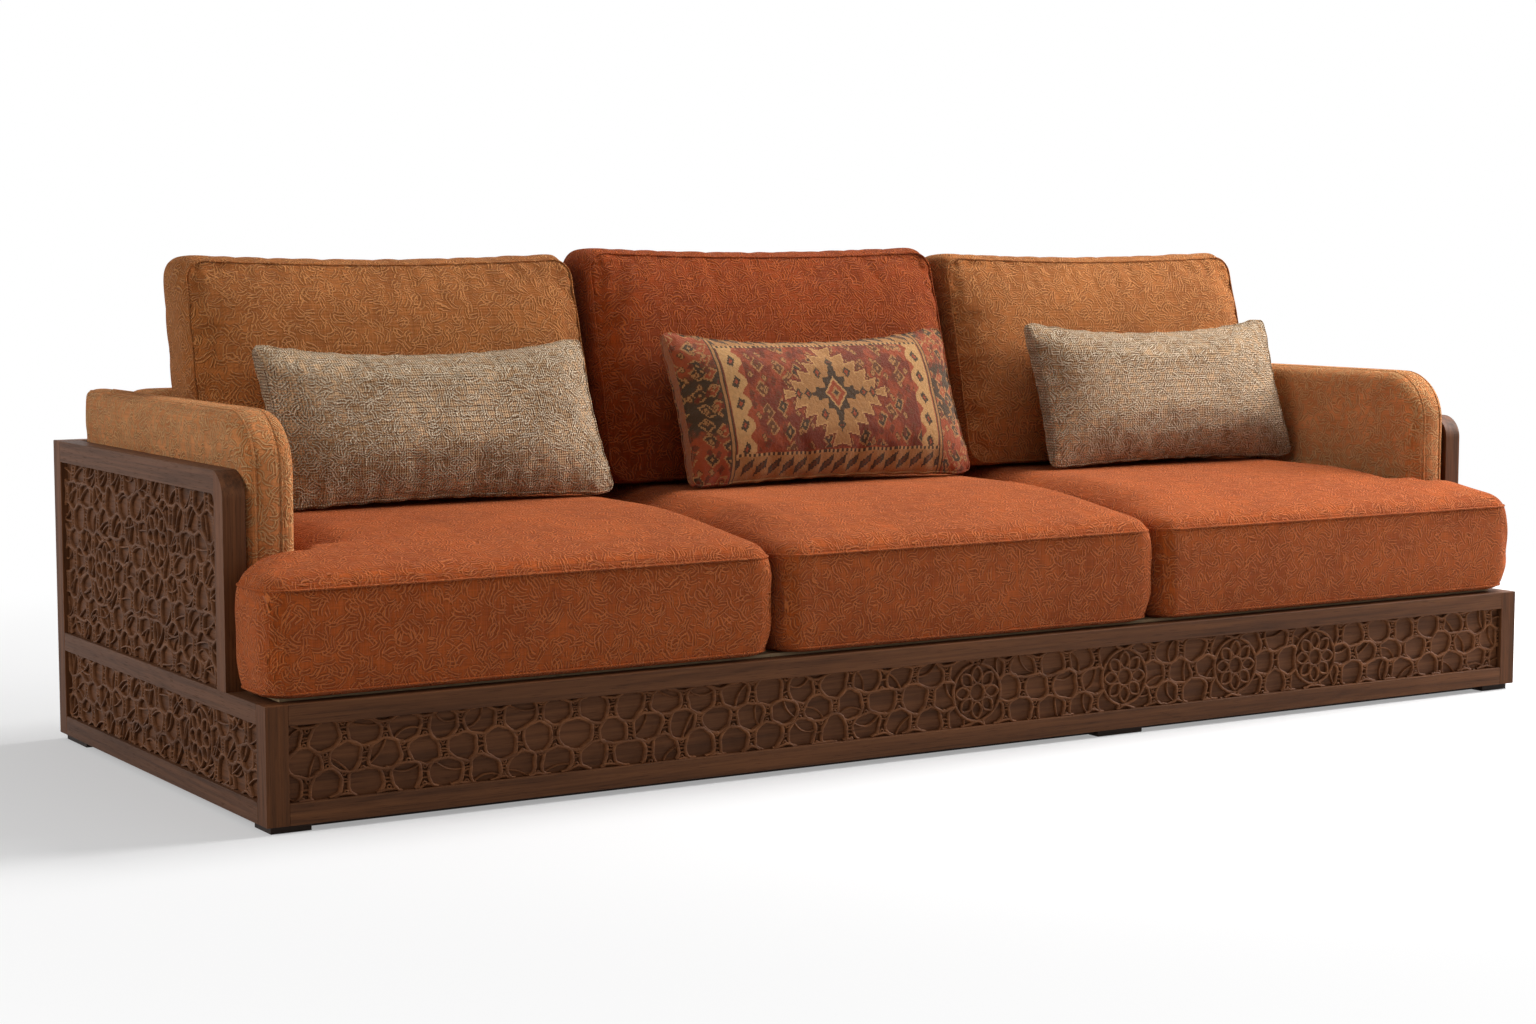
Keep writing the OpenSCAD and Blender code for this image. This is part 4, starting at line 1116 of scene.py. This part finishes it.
# Back cushions: soft boxed cushions filled with feather and fibre. They
# stand loose on the seats and lean back by 15 degrees, their top edges sag
# between the corners, and the cover puckers along the welted seams.
rust_back = chenille("rust_back_chenille", colour(224, 114, 46),
                     colour(182, 77, 22), colour(135, 55, 14))
tan = chenille("tan_chenille", colour(247, 171, 101),
               colour(210, 128, 65), colour(159, 91, 42))
lean = math.tan(math.radians(15))
back_deep, back_r, back_reach, back_welt = 0.158, 0.036, 0.150, 0.0022
back_heights = {"left": 0.440, "middle": 0.452, "right": 0.440}
front_crown, rear_crown = 0.024, 0.040
back_sag, back_taper = 0.011, 0.012
crease_deep, pucker_deep, ripple = 0.0030, 0.0016, 0.0008
back_slack, back_move = 0.016, 0.008
# How far each ring stands in from the widest line, and its depth from the
# front seam to the rear seam.
back_levels = [(0.010 * max(0, 1 - share / 0.3) ** 2
                + 0.036 * max(0, (share - 0.3) / 0.7) ** 2.2,
                back_deep * share) for share in np.linspace(0, 1, 11)]
widest_ring = 3


def back_cushion_cover(side):
    """A back cushion's cover, drawn upright and then leaned back."""
    low, high = (np.array(c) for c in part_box(side + "_back_cushion"))
    width, tall = high[0] - low[0], back_heights[side]
    last = len(back_levels) - 1
    r, c = back_r, back_reach
    xs = steps(0, 5, r, 10, c, 42, width - c, 10, width - r, 5, width)
    ys = steps(0, 5, r, 10, c, 12, tall - c, 10, tall - r, 5, tall)

    def at(i, j, k):
        inset, depth = back_levels[k]
        x, y = xs[i], ys[j]
        px = x + drawn(x, inset, c) - drawn(width - x, inset, c)
        py = y + drawn(y, inset, c) - drawn(tall - y, inset, c)
        for corner_x, way_x in ((inset, 1), (width - inset, -1)):
            for corner_y, way_y in ((inset, 1), (tall - inset, -1)):
                px, py = round_off(px, py, (corner_x, corner_y),
                                   way_x, way_y, r)
        u = 2 * px / width - 1
        v = py / tall
        side_x, top_y = np.minimum(x, width - x), tall - y
        fold = np.sin(y * 205 + 2.3 * np.sin(y * 67 + 5 * u))
        if k == 0:
            crease = (fold * np.exp(-side_x / 0.042)
                      * np.clip(side_x / 0.008, 0, 1)
                      + 0.8 * np.sin(x * 170 + 2.1 * np.sin(x * 53))
                      * np.exp(-top_y / 0.036) * np.clip(top_y / 0.008, 0, 1))
        face = (swell(x, c) * swell(width - x, c)
                * swell(y, c) * swell(tall - y, c))
        out = (-front_crown * face - crease_deep * crease if k == 0
               else rear_crown * face if k == last else 0 * face)
        if 0 < k < last:
            px = px - np.sign(u) * pucker_deep * (1 + fold) * np.exp(
                -depth / 0.05) * (side_x < r)
        px = px - back_taper * u * v
        py = py - back_sag * v * (1 - u * u)
        rough = np.sin(u * 29 + 3 * v) + np.sin(u * 47 + 1.7)
        py = py - ripple / 2 * rough * np.abs(2 * v - 1) ** 6
        px = px - ripple * np.sin(v * 31 + 1.3) * u ** 7
        return np.stack([px, depth + out + py * lean, py], 1)

    points, faces, rings = stuffed(xs, ys, len(back_levels), at)
    faces = [face[::-1] for face in faces]
    points = points + np.array([low[0], 0, low[2]])
    points[:, 1] += low[1] - points[:, 1].min()
    made = new_piece(side + "_back_cover", points, faces)
    hidden = np.flatnonzero(points[:, 2] < low[2] + 0.003)
    for k in (0, last):
        add_skin(made, *tube(points[rings[k]], back_welt, closed=True))
    let_settle(made, np.r_[rings[0], rings[widest_ring], rings[-1], hidden,
                           len(points):len(made.data.vertices)],
               back_slack, back_move, low, high)
    return made


for side, look, slot in (("left", tan, "tan_chenille"),
                         ("middle", rust_back, "rust_back_chenille"),
                         ("right", tan, "tan_chenille")):
    cover = back_cushion_cover(side)
    cover.data.materials.append(look)
    finer(cover)
    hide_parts(side + "_back_cushion")
    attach(cover, side + "_back")


# Lumbar pillows: two in a coarse taupe weave and one in a flat-woven rug
# cloth, each with a narrow sewn-in edge strip, two welts and a feather
# filling that leaves the corners pinched. They stand on the seats.
taupe = chenille("taupe_weave", colour(255, 234, 204),
                 colour(240, 198, 154), colour(138, 102, 66),
                 stroke_highlight=0.62, weave=680.0, knot=0.20, depth=0.0050,
                 size=0.76, ribbed=True)
pillow_high, pillow_thick, pillow_r = 0.312, 0.118, 0.022
pillow_edge, pillow_gusset, pillow_levels = 0.008, 0.026, 5
pillow_draw, pillow_foot, pillow_end = 0.030, 0.010, 0.012
pillow_wave, pillow_welt = 0.0009, 0.0021
pillow_slack, pillow_move = 0.009, 0.007
leans = {"left": 26.0, "middle": 22.0, "right": 19.0}


def pillow_cover(side):
    """A pillow's cover, drawn with u and v from -1 to 1 and then leaned."""
    low, high = (np.array(c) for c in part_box(side + "_pillow"))
    half_wide, half_high = (high[0] - low[0]) / 2, pillow_high / 2
    tilt = math.radians(leans[side])
    xs = steps(-1, 6, -0.93, 8, -0.75, 48, 0.75, 8, 0.93, 6, 1)
    ys = steps(-1, 6, -0.86, 8, -0.6, 22, 0.6, 8, 0.86, 6, 1)

    def at(i, j, k):
        u, v = xs[i], ys[j]
        px = half_wide * u - u * pillow_end * (1 - v * v)
        py = (half_high * v
              - np.maximum(v, 0) ** 2 * pillow_draw * (1 - np.abs(u) ** 2.4)
              + np.maximum(-v, 0) ** 2 * pillow_foot * (1 - u * u))
        rough = np.sin(u * 31 + 3 * v) + np.sin(u * 53 + 1.7)
        py = py - pillow_wave * rough * v ** 3
        px = px - pillow_wave * np.sin(v * 23 + 1.3) * u ** 3
        for sx in (-1, 1):
            for sy in (-1, 1):
                px, py = round_off(px, py, (sx * half_wide, sy * half_high),
                                   -sx, -sy, pillow_r)
        side_of = 2 * k / (pillow_levels - 1) - 1
        at_end = np.clip((np.abs(u) - 0.9) / 0.1, 0, 1) * (1 - v ** 6)
        edge = pillow_edge + (pillow_gusset - pillow_edge) * at_end
        if k in (0, pillow_levels - 1):
            puff = ((1 - np.abs(u) ** 3) * (1 - np.abs(v) ** 3)) ** 0.6
            t = side_of * (edge + (pillow_thick - edge) * puff) / 2
        else:
            t = side_of * edge / 2
        y = t * math.cos(tilt) + py * math.sin(tilt)
        z = -t * math.sin(tilt) + py * math.cos(tilt)
        return np.stack([px, y, z], 1)

    points, faces, rings = stuffed(xs, ys, pillow_levels, at)
    faces = [face[::-1] for face in faces]
    middle = (low + high) / 2
    points[:, 0] += middle[0]
    points[:, 1] += high[1] - points[:, 1].max()
    points[:, 2] += low[2] - points[:, 2].min()
    made = new_piece(side + "_pillow_cover", points, faces)
    for seam in (rings[0], rings[-1]):
        add_skin(made, *tube(points[seam], pillow_welt, closed=True))
    let_settle(made, np.r_[rings[0], rings[-1],
                           len(points):len(made.data.vertices)],
               pillow_slack, pillow_move, low, high)
    return made


def rug_cloth(name, centre, tilt):
    """Flat-woven rug cloth with a serrated diamond in a red field.

    u runs along the pillow and v up its face, in metres from its middle.
    Both go in whole knots, so that every outline is stepped.
    """
    made, place = new_finish(name)
    side_on = abs(place.node("NewGeometry", out="Normal").axis(0))
    place = place - centre
    sway = (place.mottle(30.0, 2.0) - 0.5) * 0.006
    knot = 0.0026
    u = ((place.axis(0) + sway) / knot).calc("FLOOR") * knot
    v = ((place.axis(2) * math.cos(tilt) + place.axis(1) * math.sin(tilt)
          + sway) / knot).calc("FLOOR") * knot
    wide, high = abs(u), abs(v)
    flat = place.node("CombineXYZ", {0: u, 1: v})
    brick, wine = colour(166, 75, 37), colour(120, 48, 24)
    cream, sand = colour(206, 156, 97), colour(182, 129, 75)
    coal, bark = colour(70, 54, 33), colour(108, 65, 32)

    def diamond(x, y, broad, tall):
        """One on the outline of a diamond, less inside it."""
        return abs(x) / broad + abs(y) / tall

    def every(x, pitch):
        """Distance to the nearest of a row of middles."""
        return (x / pitch + 0.5).calc("FRACT") * pitch - pitch / 2

    def between(x, low, high):
        return (x > low) * (x < high)

    def nest(tone, shape, *layers, within=None):
        """Paints a shape in layers, each inside the one before."""
        for limit, paint in layers:
            mask = shape < limit
            mask = mask if within is None else mask * within
            tone = mask.blend(tone, paint)
        return tone

    def motifs(tone, within, scale, broad, tall, first, second, third):
        """Small outlined diamonds strewn about, each on a slant."""
        cell = place.node("TexVoronoi", {
            "Vector": flat, "Scale": scale, "Randomness": 0.75},
            out="Position", voronoi_dimensions="2D")
        pick = cell.also("Color").axis(0)
        slant = (pick - 0.5) * 1.6
        x = (flat - cell).axis(0)
        y = (flat - cell).axis(1) + x * slant
        return nest(tone, diamond(x, y, broad, tall), (1.0, first),
                    (0.74, (pick > 0.5).blend(second, third)),
                    (0.26, first), within=within)

    # The field and its small motifs.
    worn = place.mottle(18.0, 4.0, 0.7)
    tone = worn.ramp(0.42, 0.60).blend(wine, brick)
    field = (wide < 0.200) * (high < 0.106)
    tone = motifs(tone, field, 22.0, 0.014, 0.018, sand, coal, bark)
    tone = motifs(tone, field, 36.0, 0.007, 0.010, bark, wine, sand)
    # The serrated medallion, spots round it, and a star with a heart.
    teeth = ((wide / 0.125 - high / 0.118) * 3.2 + 0.25).calc(
        "PINGPONG", 0.5)
    tone = nest(tone, diamond(u, v, 0.130, 0.124) + teeth * 0.55,
                (1.08, wine), (1.02, cream), (0.96, sand))
    for x, y in ((wide - 0.064, v), (u, high - 0.064),
                 (wide - 0.034, high - 0.042), (wide - 0.086, v)):
        tone = nest(tone, diamond(x, y, 0.0095, 0.0120),
                    (1.0, coal), (0.5, brick))
    star = diamond(u, v, 0.058, 0.060) + teeth * 0.9
    cross = diamond(u, v, 0.020, 0.074).calc(
        "MINIMUM", diamond(u, v, 0.064, 0.017))
    tone = nest(tone, star.calc("MINIMUM", cross), (1.0, coal))
    tone = nest(tone, diamond(u, v, 0.026, 0.034), (1.0, cream),
                (0.82, brick), (0.42, sand), (0.22, coal))
    # A pale border with leaves across each end.
    rim_low, rim_middle, rim_high, leaf_pitch = 0.192, 0.213, 0.234, 0.044
    rim = between(wide, rim_low, rim_high)
    tone = rim.blend(tone, cream)
    slanted = (every(v + 0.012, leaf_pitch) + (wide - rim_middle) * 0.5)
    tone = nest(tone, diamond(wide - rim_middle, slanted, 0.010, 0.013),
                (1.0, coal), (0.42, brick), within=rim)
    tone = nest(tone, diamond(wide - rim_low, every(v - 0.010, leaf_pitch),
                              0.013, 0.016), (1.0, brick), within=rim)
    # A band with fronds and a beaded line along the top and the bottom.
    band, band_middle, bead_pitch = high > 0.110, 0.130, 0.0104
    tone = band.blend(tone, sand)
    row = every(u, 0.030) + (high - band_middle) * 0.9
    tone = nest(tone, diamond(row, high - band_middle, 0.011, 0.015),
                (1.0, coal), (0.5, bark), within=band)
    bead = between(high, 0.107, 0.1125)
    dashes = bead * (every(u, bead_pitch) > -0.002)
    tone = dashes.blend(bead.blend(tone, cream), coal)
    # The outer ends, with three fine lines where they begin.
    outer = wide > 0.246
    ground = (high + worn * 0.10).ramp(0.105, 0.125)
    tone = outer.blend(tone, ground.blend(coal, brick))
    tone = motifs(tone, outer, 30.0, 0.016, 0.015, sand, brick, coal)
    tone = motifs(tone, outer, 44.0, 0.007, 0.008, bark, wine, sand)
    for low, top, paint in ((0.2360, 0.2388, coal), (0.2435, 0.2463, coal),
                            (0.2388, 0.2435, sand)):
        tone = between(wide, low, top).blend(tone, paint)
    # The thread with painted shade where it lies low, its wear, and the plain
    # strip at the sides.
    weft, warp = ((place.axis(number) * (2 * math.pi / knot)).calc("SINE")
                  for number in (2, 0))
    thread = weft * warp
    rub = place.mottle(160.0, 2.0, 0.6).ramp(0.35, 0.65)
    # Painted shade where the thread lies low, and darker wear where it is
    # rubbed.
    tone = (thread.ramp(0.2, -0.8) * 0.30 + rub * 0.16).blend(
        tone, colour(96, 58, 38))
    tone = side_on.ramp(0.75, 0.85).blend(tone, colour(150, 92, 58))
    relief = place.node("Bump", {"Strength": 1.0, "Distance": 0.0009,
                                 "Height": thread * 0.6 + rub})
    return set_finish(made, base_color=tone, normal=relief, roughness=0.9,
                      sheen_weight=0.15, sheen_roughness=0.5,
                      specular_ior_level=0.1)


rug_middle = sum(np.array(c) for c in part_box("middle_pillow")) / 2
rug = rug_cloth("kilim_weave", tuple(float(c) for c in rug_middle),
                math.radians(leans["middle"]))

for side, look, slot in (("left", taupe, "taupe_weave"),
                         ("middle", rug, "kilim_weave"),
                         ("right", taupe, "taupe_weave")):
    cover = pillow_cover(side)
    cover.data.materials.append(look)
    finer(cover)
    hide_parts(side + "_pillow")
    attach(cover, side + "_lumbar")


run_cloth()


# Studio: a wide pale floor that keeps the shadow, and soft light from large
# lamps above, with the brightest to the upper right of the camera.
# From 1.3 to 2.8 metres out the floor fades into the backdrop. What the
# camera doesn't see straight is a plain grey, which keeps the light even.
floor_half = 14
floor = new_piece("floor", [(x * floor_half, y * floor_half, 0)
                            for x, y in ((-1, -1), (1, -1), (1, 1), (-1, 1))],
                  [(0, 1, 2, 3)], smooth=False)
paper, place = new_finish("studio_floor")
tree = paper.node_tree


def seen_straight(place):
    """One on rays from the camera, also past a mirror or through glass."""
    camera, glossy, glass = (
        place.node("LightPath", out="Is " + kind + " Ray")
        for kind in ("Camera", "Glossy", "Transmission"))
    return camera.calc("MAXIMUM", glossy).calc("MAXIMUM", glass)


def surface(kind, socket, value):
    """A simple shader with one of its sockets set."""
    made = tree.nodes.new("ShaderNode" + kind)
    feed(tree, made.inputs[socket], value)
    return made


def mixed(share, first, second):
    """A mix of two shaders, the second as far as share says."""
    made = surface("MixShader", 0, share)
    tree.links.new(first.outputs[0], made.inputs[1])
    tree.links.new(second.outputs[0], made.inputs[2])
    return made


far = place.node("VectorMath", {0: place * (0.75, 1.0, 0.0)},
                 out="Value", operation="LENGTH").ramp(1.3, 2.8)
grey = surface("BsdfDiffuse", "Color", (0.45, 0.45, 0.45))
bright = surface("BsdfDiffuse", "Color", (0.9, 0.9, 0.9))
glow = surface("Emission", "Strength", 1.0)
both = mixed(seen_straight(place), grey,
             mixed(far, mixed(0.33, bright, glow), glow))
tree.links.new(both.outputs[0], tree.nodes["Material Output"].inputs[0])
tree.nodes.remove(tree.nodes["Principled BSDF"])
floor.data.materials.append(paper)

world = bpy.data.worlds.new("studio")
bpy.context.scene.world = world
world.use_nodes = True
sky = world.node_tree
backdrop = sky.nodes["Background"]
feed(sky, backdrop.inputs["Strength"],
     seen_straight(Shade(sky, None)) * 0.75 + 0.25)
backdrop.inputs["Color"].default_value = (1, 1, 1, 1)


def softbox(name, place, size, power, target=(0.0, 0.0, 0.4)):
    """A square lamp at a place, facing the seats."""
    lamp = bpy.data.lights.new(name, "AREA")
    lamp.shape = "SQUARE"
    lamp.size = size
    lamp.energy = power
    made = bpy.data.objects.new(name, lamp)
    made.location = place
    way = Vector(target) - Vector(place)
    made.rotation_euler = way.to_track_quat("-Z", "Y").to_euler()
    bpy.context.collection.objects.link(made)


softbox("overhead", (2.6, 0.2, 3.8), 2.2, 180)
softbox("right", (5.0, -1.0, 2.4), 2.0, 320)
softbox("left", (-5.0, -0.6, 2.0), 2.0, 75)
